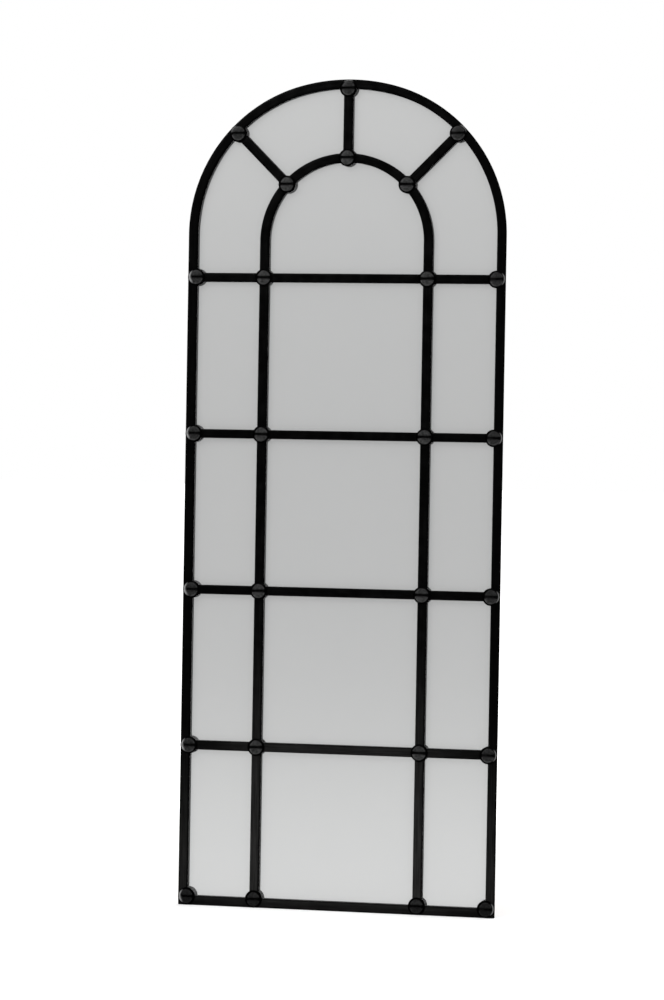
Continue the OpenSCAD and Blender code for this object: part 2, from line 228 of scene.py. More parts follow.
# %% Lamps
LAMP_AIM = Vector((0, 0, 0.9))
# The name, place, side and power of each lamp
SOFTBOXES = (
    ("front_softbox", (-1.9, -3.0, 3.4), 2.4, 85),
    ("back_softbox", (1.6, 3.2, 3.0), 2.4, 85),
    ("overhead_softbox", (0.2, -0.2, 4.4), 2.0, 45))


def softbox(name, place, size, watts):
    """A square soft lamp that faces the middle of the mirror."""
    data = bpy.data.lights.new(name, "AREA")
    data.shape = "SQUARE"
    data.size = size
    data.energy = watts
    lamp = bpy.data.objects.new(name, data)
    aim = (LAMP_AIM - Vector(place)).to_track_quat("-Z", "Y").to_matrix().to_4x4()
    lamp.matrix_world = Matrix.Translation(place) @ aim
    bpy.context.scene.collection.objects.link(lamp)


for lamp_values in SOFTBOXES:
    softbox(*lamp_values)

# %% [markdown]
# ## The floor
# The floor is pale and flat and runs out of sight. A curved backdrop could close the picture too,
# but the world is white to the camera, so no wall is needed. The camera sees the floor as white,
# with the soft shadow of the mirror on it. The mirror sees it glow as a painted pool of light that
# fades with distance, which is why the lowest panes of the photograph are the brightest.

# %% Floor
FLOOR_HALF = 60.0
FLOOR_DROP = 0.1 * MM
# Corners of a square, as shares of its half side
SQUARE = ((-1, -1), (1, -1), (1, 1), (-1, 1))

floor_mesh = bpy.data.meshes.new("floor")
floor_mesh.from_pydata(
    [(x * FLOOR_HALF, y * FLOOR_HALF, -FLOOR_DROP) for x, y in SQUARE], [], [(0, 1, 2, 3)])
floor = bpy.data.objects.new("floor", floor_mesh)
bpy.context.scene.collection.objects.link(floor)
print("floor:", FLOOR_HALF * 2, "m square")

# %% Floor paint
FLOOR_COLOUR = 0.80
FLOOR_SPECKLE = 0.04
SPECKLES_PER_METRE = 40.0
FLOOR_LIFT = 0.26
FLOOR_FAR_LIFT = 0.7
# Glow of the painted pool of light that the mirror sees on the floor
POOL_GLOW = 0.26
POOL_RADIUS = 3.8

floor_paint = bpy.data.materials.new("floor_paint")
floor_paint.use_nodes = True
floor_paint.node_tree.nodes.clear()
ground = Wire(floor_paint.node_tree)
spot = ground.node("ShaderNodeTexCoord", output="Object")
spot_x, spot_y, _ = xyz(spot)
away = (spot_x * spot_x + spot_y * spot_y) / POOL_RADIUS ** 2
speckle = ground.node("ShaderNodeTexNoise", inputs={
    "Vector": spot, "Scale": SPECKLES_PER_METRE, "Detail": 3.0})
floor_tone = FLOOR_COLOUR - FLOOR_SPECKLE / 2 + FLOOR_SPECKLE * speckle
matt = ground.node("ShaderNodeBsdfDiffuse", inputs={
    "Color": ground.node("ShaderNodeCombineColor", inputs={
        n: floor_tone for n in ("Red", "Green", "Blue")})})
ground_seen, ground_glossy = rays(ground)
lift = ground.node("ShaderNodeEmission", inputs={
    "Color": WHITE,
    "Strength": ground_seen * (FLOOR_LIFT + FLOOR_FAR_LIFT * away.ramp(0.05, 0.45))})
seen_floor = ground.node("ShaderNodeAddShader", inputs={0: matt, 1: lift})
# Seen in the mirror the floor glows: a painted pool of light that fades with distance
mirrored_floor_glow = ground.node("ShaderNodeEmission", inputs={
    "Color": WHITE, "Strength": STUDIO_EYE_LEVEL + POOL_GLOW / (1.0 + away)})
ground.node("ShaderNodeOutputMaterial", inputs={"Surface": ground.node(
    "ShaderNodeMixShader", inputs={0: ground_glossy, 1: seen_floor, 2: mirrored_floor_glow})})
floor_mesh.materials.append(floor_paint)
print("the pool of light on the floor fades over", POOL_RADIUS, "m")

# %% [markdown]
# ## Finishes
# Each finish is a Principled shader whose colour, roughness and bump vary over the surface, in
# real millimetres. The patterns read Object coordinates, and every piece keeps its object at the
# origin, so a pattern runs on from one bar to the next as paint does on a welded frame.


# %% Starting a finish
def finish(name, **constants):
    """A material with a Principled shader. Returns it, its object coordinates and the shader."""
    material = bpy.data.materials.new(name)
    material.use_nodes = True
    tree = material.node_tree
    shader = tree.nodes["Principled BSDF"]
    for socket, value in constants.items():
        shader.inputs[socket.replace("_", " ")].default_value = value
    return material, Wire(tree).node("ShaderNodeTexCoord", output="Object"), shader


def plug(shader, **wires):
    """Links wires to inputs of the shader, each named with _ for a space."""
    for socket, wire in wires.items():
        wire.tree.links.new(wire.socket, shader.inputs[socket.replace("_", " ")])


def attribute(start, name, output="Fac"):
    """A number or a vector that the mesh carries at every point."""
    return start.node("ShaderNodeAttribute", {"attribute_name": name}, output=output)


print("a finish starts from a Principled shader")


# %% Patterns
def noise(place, size, detail=3.0, roughness=0.5):
    """Noise from 0 to 1 whose features are about this size in metres."""
    return place.node("ShaderNodeTexNoise", inputs={
        "Vector": place, "Scale": 1.0 / size, "Detail": detail, "Roughness": roughness})


def cells(place, size, output="Distance"):
    """Cells of about this size in metres."""
    return place.node("ShaderNodeTexVoronoi", inputs={
        "Vector": place, "Scale": 1.0 / size}, output=output)


def stretched(place, scale):
    """The coordinates with each axis scaled, which draws a pattern out along the small one."""
    return place.node("ShaderNodeMapping", inputs={"Vector": place, "Scale": scale})


print("patterns: noise, cells and stretched coordinates")


# %% Colours and relief
def colour_between(amount, dark, light):
    """A colour that runs from dark to light, where each is three numbers or a wire."""
    ends = [end if isinstance(end, Wire) else (*end, 1) for end in (dark, light)]
    return amount.node("ShaderNodeMix", {"data_type": "RGBA", "clamp_factor": True}, {
        0: amount, 6: ends[0], 7: ends[1]}, 2)


def bump(height, depth, strength):
    """A normal from a height between 0 and 1, where 1 is this many metres high."""
    return height.node("ShaderNodeBump", inputs={
        "Height": height, "Distance": depth, "Strength": strength})


def grey(value, warm=0.0):
    """A grey, a little warmer or colder."""
    return (value * (1 + warm), value, value * (1 - warm))


BLACK = grey(0.0)
print("black is", BLACK)

# %% [markdown]
# ### Black paint on the bars
# The bars are flat iron under a thin satin black paint. The film is deep black and hardly shines,
# so the gloss is a thin coat on the wide faces, and the narrow sides are dead matt. A broad noise
# makes the film uneven where it was sprayed thicker, a fine one is its orange peel, and long
# streaks run along each bar, as rolled iron has them. The sweep that makes a bar writes down how
# far along and how far across every point lies, so the streaks bend with the arches. Towards the
# floor the bars turn from black to dark grey, which the photograph shows: painted light from the
# bright floor, given the colour and roughness of dust. Both edges of a bar stay darker, and the
# bars are lighter towards the middle of the frame. All of it could be painted by hand on an
# unwrapped mesh, but a rule gives every bar its own marks and stays sharp in a close view.

# %% Dust and floor light on the bars
BAR_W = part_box("bottom_rail")[1].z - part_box("bottom_rail")[0].z
DUST_LIGHT_CLOUD = 60 * MM
# Heights: no dust and painted floor light above the top, all at the foot, less again below the
# last
DUST_LIGHT_TOP, DUST_LIGHT_TOP_INSIDE, DUST_LIGHT_FOOT, FOOT_DIM_TOP = 0.45, 0.70, 0.02, 0.035
# Distances from the middle of the frame between which the bars turn lighter towards the middle
MIDDLE_FADE_X, MIDDLE_FULL_X = 0.34, 0.15
# Distances in from a bar's edge over which the dust and floor light fade in, so edges stay dark
DARK_EDGE_FROM, DARK_EDGE_TO = 0.3 * MM, 2.8 * MM


def toward_middle(place):
    """1 in the middle of the frame and 0 at its sides."""
    x, _, _ = xyz(place)
    return abs(x).ramp(MIDDLE_FADE_X, MIDDLE_FULL_X)


def dust_and_floor_light(place):
    """Dust and painted floor light on the frame: from the floor up, most in the middle, in clouds.
    """
    _, _, z = xyz(place)
    inner = toward_middle(place)
    low = z.ramp(DUST_LIGHT_TOP + (DUST_LIGHT_TOP_INSIDE - DUST_LIGHT_TOP) * inner, DUST_LIGHT_FOOT)
    # Less of it again in the lowest few centimetres
    foot_dim = 0.25 + 0.75 * z.ramp(0.0, FOOT_DIM_TOP)
    return low * foot_dim * (0.55 + 0.45 * inner) * (0.75 + 0.5 * noise(place, DUST_LIGHT_CLOUD))


def dust_and_light_on_face(dust, streaks, fine):
    """Where the dust and light lie on a bar's face: in from its edges and in the rolled streaks.
    """
    middle = abs(attribute(dust, "across")).ramp(BAR_W / 2 - DARK_EDGE_FROM, BAR_W / 2 - DARK_EDGE_TO)
    return dust * (0.25 + 0.85 * middle) * (0.60 + 0.80 * streaks) * (0.85 + 0.3 * fine)


print("dust hangs up to", DUST_LIGHT_TOP, "m at the sides and", DUST_LIGHT_TOP_INSIDE, "m inside")

# %% Black iron
SPRAY_CLOUD = 24 * MM
PAINT_PEEL, PEEL_WAVE = 1.6 * MM, 4.5 * MM
PEEL_DEPTH = 0.10 * MM
ROLLED_STREAK = 3.0 * MM
STREAK_DRAW = 0.035
PAINT_THICK, PAINT_THIN = grey(0.0002), grey(0.0020)
DUST_AND_LIGHT_COLOUR = grey(0.0236, 0.02)


def black_iron():
    """Satin black paint on rolled iron, with dust and painted floor light towards the floor."""
    material, place, shader = finish(
        "black_iron", Specular_IOR_Level=0.0, Metallic=0.0, Coat_IOR=1.5, Coat_Roughness=0.30)
    _, facing, _ = xyz(place.node("ShaderNodeNewGeometry", output="Normal"))
    flat = abs(facing).ramp(0.35, 0.95)
    broad = noise(place, SPRAY_CLOUD)
    fine = noise(place, PAINT_PEEL, detail=2.0)
    rolled = vector(place, attribute(place, "along") * STREAK_DRAW, attribute(place, "across"))
    streaks = noise(rolled, ROLLED_STREAK, roughness=0.6).ramp(0.30, 0.70)
    # Dust and painted floor light: the bars turn lighter towards the floor
    dust = dust_and_floor_light(place)
    # The paint is lighter towards the middle of the frame
    film = broad.ramp(0.35, 0.7) * (0.3 + 0.7 * toward_middle(place)) * (0.5 + streaks)
    paint = colour_between(film * 0.7, PAINT_THICK, PAINT_THIN)
    dusty_light = colour_between(dust_and_light_on_face(dust, streaks, fine) * 0.7, BLACK, DUST_AND_LIGHT_COLOUR)
    tinted = paint.node("ShaderNodeMix", {"data_type": "RGBA", "blend_type": "ADD"}, {
        0: 1.0, 6: paint, 7: dusty_light}, 2)
    peel = fine * 0.3 + noise(place, PEEL_WAVE, detail=1.0) * 0.4 + streaks * 0.3
    plug(shader,
         Base_Color=tinted,
         Roughness=0.36 + 0.16 * broad + 0.12 * fine + 0.12 * dust,
         Coat_Weight=0.006 + flat * (0.015 + 0.04 * broad + 0.03 * streaks),
         Normal=bump(peel, PEEL_DEPTH, 0.8))
    return material


BLACK_IRON = black_iron()
print("made", BLACK_IRON.name)

# %% [markdown]
# ### Cast iron on the studs
# The crown of each stud is bare enough to look charcoal, mottled like a sand casting. The slope
# round it and the slot are as black as the bars, and dust lies caked in the slot in paler patches.
# The crowns are darker low on the frame and along its edge. Painted shade darkens each crown
# beside the slot and over its left edge, and the slot's black reaches a little way out of it, most
# above.
# Painted highlights lighten the left of every crown and, on the studs along the edge of the frame,
# the crown's rim and a crescent on the outward side of the slope, most on the left. Every point of
# a stud carries its place on the stud and the way to the frame's edge as attributes, so that the
# finish can be measured like the turned shape itself.

# %% Zones of a stud
CROWN_RADIUS = 14.6 * MM
SLOT_W = 4.6 * MM
# The slot's black sits this much higher than the slot: painted shade under its upper lip, lower
# wall painted as lit
SLOT_SHADE_UP = 0.6 * MM
# Radius of the painted glint on the slope of a stud
GLINT_RADIUS = 16.1 * MM
# Painted shade comes this far in over a crown's left edge, and less by this on the right upright
SHOULDER_SHADE, LESS_SHADE_ON_RIGHT = 1.7 * MM, 1.2 * MM


def length_of(u, v):
    """Length of a vector in the plane of the frame."""
    return (u * u + v * v) ** 0.5


def bare_crown(x, aside, above, radius, ragged):
    """1 on the bare crown, 0 on the black slope and slot and on painted shade; the line is ragged.
    """
    # Painted shade over the crown's left edge, mostly on its upper half
    shade_in = SHOULDER_SHADE - LESS_SHADE_ON_RIGHT * x.ramp(0.05, 0.10) * x.ramp(0.30, 0.25)
    shade_in = shade_in * (aside / radius).ramp(-0.15, -0.75) * above.ramp(-15 * MM, 0)
    crown = (radius + ragged + shade_in).ramp(CROWN_RADIUS + 1.1 * MM, CROWN_RADIUS + 0.5 * MM)
    # The slot's black reaches past it as painted shade, most above it, and widens towards its ends
    slot_black = abs(above - SLOT_SHADE_UP) - ragged - 0.9 * MM * abs(aside).ramp(9 * MM, 14 * MM)
    return crown * slot_black.ramp(SLOT_W / 2 - 0.2 * MM, SLOT_W / 2 + 0.3 * MM)


def crown_shade(z, aside, above, radius, outer):
    """Painted light and shade on the casting, and darker low on the frame and at its edge."""
    # Painted shade on the crown beside the slot
    slot_shade = 0.55 + 0.45 * abs(above - SLOT_SHADE_UP).ramp(2.6 * MM, 6.8 * MM)
    # Painted highlight round the crown's rim on studs at the frame's edge, strongest at the bottom
    rim_highlight = 1.0 + outer * (0.65 - 14.0 * above) * radius.ramp(11.3 * MM, 13.6 * MM)
    # Painted highlight on the left of every crown, most on its lower half
    left_highlight = 1.0 + 0.5 * aside.ramp(-4 * MM, -10 * MM) * (1.0 - 0.6 * above.ramp(-2 * MM, 4 * MM))
    low = 0.22 + 0.30 * z.ramp(0.015, 0.025) + 0.48 * z.ramp(0.05, 0.30)
    # Darker on studs at the frame's edge; each crown's lower half is painted lighter, as painted
    # light
    return low * (1.0 - 0.46 * outer) * slot_shade * rim_highlight * left_highlight * (1.08 - 14.0 * above)


def painted_glint(aside, above, radius, way_x, way_z, grain):
    """A painted highlight: a crescent on the slope, on the side that faces the edge of the frame.
    """
    glint_strength = length_of(way_x, way_z)
    toward = (aside * way_x + above * way_z) / (radius * glint_strength)
    drawn = length_of(aside - 1.2 * MM, above - 0.8 * MM)
    spread = 1.6 * MM + 3.4 * MM * aside.ramp(-2 * MM, -10 * MM) * (
        1.0 - 0.45 * above.ramp(0, 5 * MM))
    band = drawn.ramp(GLINT_RADIUS - spread, GLINT_RADIUS)
    band = band * drawn.ramp(GLINT_RADIUS + 1.8 * MM, GLINT_RADIUS + 0.5 * MM)
    return band * toward.ramp(0.97 - 0.6 * glint_strength, 1.0) * glint_strength * (0.6 + 0.8 * grain)


print("the crown is bare inside a radius of", round(CROWN_RADIUS / MM, 1), "mm")

# %% Cast studs
GRAIN, PIT, MOTTLE, BLOTCH = 1.5 * MM, 2.1 * MM, 3.2 * MM, 5 * MM
RAGGED = 0.5 * MM
CAST_DEPTH = 0.22 * MM
CASTING_DARK, CASTING_PALE = grey(0.014), grey(0.070)
SLOT_DARK, SLOT_CAKED = grey(0.0004), grey(0.0065)
# Colour of the painted glint on the outward side of a stud
GLINT_COLOUR = grey(0.28)


def cast_studs():
    """Charcoal casting, black paint in the slot and on the slope, painted shade and painted
    glints.
    """
    material, place, shader = finish(
        "cast_studs", Specular_IOR_Level=0.0, Metallic=0.0, Coat_IOR=1.5, Coat_Roughness=0.32)
    x, _, z = xyz(place)
    aside, _, above = xyz(attribute(place, "on_stud", "Vector"))
    way_x, _, way_z = xyz(attribute(place, "outward", "Vector"))
    radius = length_of(aside, above)
    grain = noise(place, GRAIN, detail=4.0, roughness=0.62)
    blotch = noise(place, BLOTCH, detail=2.0)
    mottle = noise(place, MOTTLE, detail=2.0)
    pits = cells(place, PIT).ramp(0.05, 0.34)
    tone = (0.25 * grain + 0.35 * blotch + 0.4 * mottle).ramp(0.34, 0.64) * (0.4 + 0.6 * pits)
    shade = crown_shade(z, aside, above, radius, length_of(way_x, way_z).ramp(0.0, 0.1))
    bare = colour_between(shade * 0.6, BLACK, colour_between(tone, CASTING_DARK, CASTING_PALE))
    caked = mottle.ramp(0.48, 0.66) + 0.8 * way_x.ramp(0.0, 0.2) * aside.ramp(1 * MM, -4 * MM)
    caked = caked * radius.ramp(13.5 * MM, 12 * MM)
    crown = bare_crown(x, aside, above, radius, RAGGED * grain)
    painted = colour_between(crown, colour_between(caked, SLOT_DARK, SLOT_CAKED), bare)
    # A painted highlight on the outward side of the studs along the frame's edge
    glint = painted_glint(aside, above, radius, way_x, way_z, grain)
    plug(shader,
         Base_Color=colour_between(glint, painted, GLINT_COLOUR),
         Roughness=0.62 - 0.2 * crown * grain + 0.1 * blotch,
         Coat_Weight=0.006 + 0.024 * z.ramp(0.05, 0.3) + 0.17 * crown + 0.3 * glint,
         Normal=bump(0.5 * grain + 0.5 * pits, CAST_DEPTH, 0.9))
    return material


CAST_STUDS = cast_studs()
print("made", CAST_STUDS.name)

# %% [markdown]
# ### Silvered glass
# A mirror is a sheet of float glass with silver on its back. It could be clear glass over a
# silvered sheet, but that renders slowly, and from a step away it looks the same. So here the
# front face carries the reflection. A film of dust makes it slightly milky: the part of the
# shader that isn't metal scatters light, and it dims beside the bars, as in the photograph. The
# edges of the sheet are glass green, which the direction of the face tells apart.

# %% Mirror glass
SILVER_DARK, SILVER_PALE = (0.852, 0.860, 0.858), (0.866, 0.870, 0.868)
GLASS_EDGE = (0.10, 0.22, 0.17)
SILVER_CLOUD = 90 * MM
SMEAR = 35 * MM
SILVER_SHARE = 0.77


def silvered_glass():
    """A mirror with a slight film, and glass green on its edges."""
    material, place, shader = finish("silvered_glass", Specular_IOR_Level=0.5)
    _, facing_y, _ = xyz(place.node("ShaderNodeNewGeometry", output="Normal"))
    face = abs(facing_y).ramp(0.5, 0.9)
    silver = colour_between(noise(place, SILVER_CLOUD), SILVER_DARK, SILVER_PALE)
    smears = noise(stretched(place, (1.0, 1.0, 0.25)), SMEAR, detail=5.0).ramp(0.45, 0.8)
    plug(shader,
         Base_Color=colour_between(face, GLASS_EDGE, silver),
         Metallic=face * SILVER_SHARE,
         Roughness=face * (0.012 + 0.03 * smears) + (1.0 - face) * 0.12)
    return material


SILVERED_GLASS = silvered_glass()
print("made", SILVERED_GLASS.name)

# %% [markdown]
# ### Board, zinc, foam and rubber
# The back is plain and honest: brown pressed board, zinc plated clips, brackets, screws and wire
# rings, black foam tape under the glass, and rubber bumpers that keep the board off the wall.
# Pictures of such surfaces could be wrapped round the pieces. Patterns that are worked out from
# the place of each point need no unwrapping, have no seams and keep their size everywhere.

# %% Backing board
BOARD_DARK, BOARD_PALE = (0.205, 0.118, 0.060), (0.330, 0.205, 0.112)
FLECK_COLOUR = (0.150, 0.085, 0.045)
BOARD_CLOUD = 130 * MM
FIBRE, CROSS_FIBRE, FLECK = 1.8 * MM, 2.2 * MM, 3.4 * MM
FIBRE_DEPTH = 0.12 * MM


def pressed_board():
    """Brown board of pressed fibres that lie both ways, with dark flecks."""
    material, place, shader = finish("pressed_board", Specular_IOR_Level=0.25)
    clouds = noise(place, BOARD_CLOUD, detail=4.0)
    fibres = noise(stretched(place, (1.0, 1.0, 0.22)), FIBRE, detail=5.0, roughness=0.7)
    crossing = noise(stretched(place, (0.22, 1.0, 1.0)), CROSS_FIBRE, detail=5.0, roughness=0.7)
    flecks = cells(place, FLECK).ramp(0.30, 0.06)
    mixed = (0.4 * clouds + 0.3 * fibres + 0.3 * crossing).ramp(0.36, 0.64)
    brown = colour_between(mixed, BOARD_DARK, BOARD_PALE)
    plug(shader,
         Base_Color=colour_between(1.0 - flecks * 0.45, FLECK_COLOUR, brown),
         Roughness=0.52 + 0.2 * fibres,
         Normal=bump(0.5 * fibres + 0.5 * crossing, FIBRE_DEPTH, 0.7))
    return material


PRESSED_BOARD = pressed_board()
print("made", PRESSED_BOARD.name)

# %% Zinc plated steel
ZINC_DARK, ZINC_PALE = (0.44, 0.45, 0.47), (0.68, 0.69, 0.71)
SPANGLE, ZINC_CLOUD, DRAWN_LINE = 2.6 * MM, 14 * MM, 0.5 * MM
ZINC_DEPTH = 0.03 * MM


def zinc_plate():
    """Bright zinc with small crystals, and lines from the drawing of the steel."""
    material, place, shader = finish("zinc_plate", Metallic=1.0)
    spangle = cells(place, SPANGLE, "Color")
    shade = spangle.node("ShaderNodeSeparateColor", inputs={0: spangle})
    cloudy = noise(place, ZINC_CLOUD, detail=4.0)
    drawn = noise(stretched(place, (0.12, 1.0, 1.0)), DRAWN_LINE, detail=2.0)
    plug(shader,
         Base_Color=colour_between(0.5 * shade + 0.5 * cloudy, ZINC_DARK, ZINC_PALE),
         Roughness=0.26 + 0.12 * shade + 0.16 * cloudy,
         Normal=bump(0.6 * drawn + 0.4 * shade, ZINC_DEPTH, 0.6))
    return material


ZINC_PLATE = zinc_plate()
print("made", ZINC_PLATE.name)

# %% Foam tape and rubber
BLOOM = 9 * MM


def soft_black(name, tone, pore, depth):
    """Matt black rubber or foam: pores of one size, and a bloom that lightens it in clouds."""
    material, place, shader = finish(name, Specular_IOR_Level=0.3)
    bloom = noise(place, BLOOM)
    pores = cells(place, pore).ramp(0.0, 0.45)
    plug(shader,
         Base_Color=colour_between(bloom * pores, grey(tone * 0.45), grey(tone * 1.6)),
         Roughness=0.70 + 0.2 * bloom,
         Normal=bump(pores, depth, 0.8))
    return material


FOAM = soft_black("foam_tape", tone=0.018, pore=0.7 * MM, depth=0.12 * MM)
RUBBER = soft_black("bumper_rubber", tone=0.028, pore=0.5 * MM, depth=0.03 * MM)
print("made", FOAM.name, "and", RUBBER.name)

# %% [markdown]
# ## Measures
# The frame says where everything is. Corners of the CAD boxes give the width and depth of the
# bars, the heights of the rows and the places of the studs, so nothing here is measured twice.


# %% Measures of the bars
def box_size(node):
    """Size of a CAD node's box."""
    low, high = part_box(node)
    return high - low


def box_mid(node):
    """Middle of a CAD node's box."""
    low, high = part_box(node)
    return (low + high) / 2


BAR_D = box_size("cross_bar_1_centre").y
HALF_W = cad_box[1].x
UPRIGHT_X = box_mid("right_upright").x
SPRING_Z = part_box("right_upright")[1].z
ARCH_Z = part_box("right_stile")[1].z
ROW_Z = [box_mid(f"cross_bar_{row}_centre").z for row in (1, 2, 3, 4)]
# The outer arch has three arcs: the haunches' centres lie this far from the middle, and the
# crown's radius is this much longer than theirs
HAUNCH_INSET = 17 * MM
CROWN_EXTRA = 67 * MM
HAUNCH_R = HALF_W - HAUNCH_INSET
CROWN_R = HAUNCH_R + CROWN_EXTRA
CROWN_Z = ARCH_Z - sqrt(CROWN_EXTRA ** 2 - HAUNCH_INSET ** 2)
SPLIT_ANGLE = acos(HAUNCH_INSET / CROWN_EXTRA)
BACK = BAR_D / 2
STUD_R = box_size("row_1_studs").z / 2


def side_stud(node):
    """Middle of the right-hand stud of an arch."""
    low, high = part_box(node)
    return high.x - STUD_R, low.z + STUD_R


INNER_STUD = side_stud("inner_arch_studs")
OUTER_STUD = side_stud("outer_arch_studs")
SPOKE_ANGLE = atan2(OUTER_STUD[1] - INNER_STUD[1], OUTER_STUD[0] - INNER_STUD[0])
SPOKE_Z = INNER_STUD[1] - INNER_STUD[0] * tan(SPOKE_ANGLE)
print("spokes aim at a point", round((SPRING_Z - SPOKE_Z) / MM, 1), "mm below the arch's centre")
print("bars", round(BAR_W / MM, 2), "x", round(BAR_D / MM, 2), "mm")
print("rows at", [round(z, 4) for z in ROW_Z])

# %% [markdown]
# ## Geometry Nodes trees
# Three trees make almost everything. The first sweeps a rounded section along a path, for bars
# and wires. The second cuts a flat blank, punches it and bends it, as a press does, for clips and
# brackets. The third sets one pattern piece out on many points, for studs, clips, screws and
# bumpers. Python could write all those points itself, but a tree shows its steps one by one, and
# its named inputs say what each size does.

# %% Helpers for trees
WELD_DISTANCE = 0.002 * MM


def new_tree(name, **inputs):
    """A Geometry Nodes tree with inputs of each kind. Returns it and the inputs' wires by name."""
    tree = bpy.data.node_groups.new(name, "GeometryNodeTree")
    tree.is_modifier = True
    tree.interface.new_socket("Geometry", in_out="OUTPUT", socket_type="NodeSocketGeometry")
    inputs = {"Geometry": ["Geometry"], **inputs, "Material": ["Material"]}
    for kind, labels in inputs.items():
        for label in labels:
            tree.interface.new_socket(label, in_out="INPUT", socket_type="NodeSocket" + kind)
    start = Wire(tree).node("NodeGroupInput")
    return tree, {label: start.out(label) for labels in inputs.values() for label in labels}


def close_tree(geometry, material):
    """Ends a tree: real geometry, one material, and the group's output."""
    real = geometry.node("GeometryNodeRealizeInstances", inputs={0: geometry})
    painted = real.node("GeometryNodeSetMaterial", inputs={"Geometry": real, "Material": material})
    painted.node("NodeGroupOutput", inputs={0: painted})


def store(geometry, name, value):
    """Writes a number down at every point."""
    return geometry.node("GeometryNodeStoreNamedAttribute", {
        "data_type": "FLOAT", "domain": "POINT"}, {
        "Geometry": geometry, "Name": name, "Value": value})


def rounded(line, steps, radius):
    """A line whose corners are rounded in a few steps."""
    return line.node("GeometryNodeFilletCurve", {"mode": "POLY"}, {
        "Curve": line, "Count": steps, "Radius": radius})


def on_points(points, piece, turn):
    """The piece on every point, turned by three angles, as real geometry."""
    placed = points.node("GeometryNodeInstanceOnPoints", inputs={
        "Points": points, "Instance": piece,
        "Rotation": points.node("FunctionNodeEulerToRotation", inputs={0: turn})})
    return placed.node("GeometryNodeRealizeInstances", inputs={0: placed})


def uneven(geometry, relief, relief_size):
    """Sinks the surface by up to the relief, in noise of that size."""
    waves = noise(geometry.node("GeometryNodeInputPosition"), relief_size, detail=2.0)
    sunk = geometry.node("ShaderNodeVectorMath", {"operation": "SCALE"}, {
        0: geometry.node("GeometryNodeInputNormal"), "Scale": waves * relief * -1.0})
    return geometry.node("GeometryNodeSetPosition", inputs={"Geometry": geometry, "Offset": sunk})


print("trees weld points closer than", round(WELD_DISTANCE / MM, 3), "mm")


# %% Helpers for meshes
def mesh_object(name, points, edges=(), faces=()):
    """An object at the origin whose mesh has these points."""
    mesh = bpy.data.meshes.new(name)
    mesh.from_pydata([tuple(p) for p in points], list(edges), list(faces))
    made = bpy.data.objects.new(name, mesh)
    bpy.context.scene.collection.objects.link(made)
    return made


def path_object(name, points, closed=False):
    """A line through the points."""
    count = len(points)
    edges = [(i, (i + 1) % count) for i in range(count if closed else count - 1)]
    return mesh_object(name, points, edges)


def finished_mesh(thing):
    """A plain mesh of an object with its modifiers applied."""
    graph = bpy.context.evaluated_depsgraph_get()
    return bpy.data.meshes.new_from_object(thing.evaluated_get(graph))


def grow(name, seed_object, tree, values):
    """Runs a tree on an object and keeps the result as a plain mesh under a new name."""
    modifier = seed_object.modifiers.new(tree.name, "NODES")
    modifier.node_group = tree
    for item in tree.interface.items_tree:
        if item.in_out == "INPUT" and item.name in values:
            modifier[item.identifier] = values[item.name]
    mesh = finished_mesh(seed_object)
    mesh.name = name
    seed_object.modifiers.remove(modifier)
    made = bpy.data.objects.new(name, mesh)
    bpy.context.scene.collection.objects.link(made)
    bpy.data.objects.remove(seed_object)
    return made


def triangles(*things):
    """How many triangles the pieces have."""
    return sum(len(p.vertices) - 2 for thing in things for p in thing.data.polygons)


def dress(piece, body, slot, *nodes, sharp):
    """Shades a finished piece and hands it to the frame."""
    piece.data.shade_smooth()
    piece.data.set_sharp_from_angle(angle=radians(sharp))
    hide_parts(*nodes)
    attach(piece, body)
    return piece


# %% [markdown]
# ### Sweeping
# A bar or a wire is one section carried along one line. The section is a rectangle with rounded
# corners, and with its corners rounded all the way it is a circle. Two numbers are stored before
# the sweep, because only then are they known: how far along the line a point lies, and how far
# across the section. The paint reads both. A curve with a bevel would make the same shape, but
# without these numbers.


# %% Tree that sweeps a section
def sweep_tree():
    """A rounded section swept along a line in an upright plane, its faces left uneven."""
    tree, size = new_tree(
        "swept_section", Int=["Edge Steps", "Face Cuts"],
        Float=["Width", "Depth", "Edge Radius", "Step", "Start", "Relief", "Relief Size"])
    seed = size["Geometry"]
    line = seed.node("GeometryNodeMeshToCurve", inputs={0: seed})
    line = seed.node("GeometryNodeResampleCurve", {"mode": "LENGTH"}, {
        "Curve": line, "Length": size["Step"]})
    along = seed.node("GeometryNodeSplineParameter", output="Length")
    line = store(line, "along", along + size["Start"])
    line = seed.node("GeometryNodeSetCurveNormal", {"mode": "FREE"}, {
        "Curve": line, "Normal": (0, 1, 0)})
    section = seed.node("GeometryNodeCurvePrimitiveQuadrilateral", inputs={
        "Width": size["Depth"], "Height": size["Width"]})
    section = seed.node("GeometryNodeSubdivideCurve", inputs={
        "Curve": section, "Cuts": size["Face Cuts"]})
    section = rounded(section, size["Edge Steps"], size["Edge Radius"])
    _, across, _ = xyz(seed.node("GeometryNodeInputPosition"))
    section = store(section, "across", across)
    swept = seed.node("GeometryNodeCurveToMesh", inputs={
        "Curve": line, "Profile Curve": section, "Fill Caps": True})
    swept = seed.node("GeometryNodeMergeByDistance", inputs={
        "Geometry": swept, "Distance": WELD_DISTANCE})
    close_tree(uneven(swept, size["Relief"], size["Relief Size"]), size["Material"])
    return tree


SWEEP = sweep_tree()
print("tree", SWEEP.name, "has", len(SWEEP.nodes), "nodes")

# %% [markdown]
# ### Pressing
# A clip is sheet steel: cut out, punched and bent. The tree does the same in that order. The
# blank is as long as the bent line, so nothing stretches, and it is cut and punched while it is
# flat, where a Boolean is most reliable. Then every point moves to its place beside the line.

# %% Steps of a press
DIE_WELD_DISTANCE = 0.001 * MM
BEND_STEPS = 6
CORNER_STEPS = 5
SHEET_ROWS = 6
PUNCH_SIDES = 32
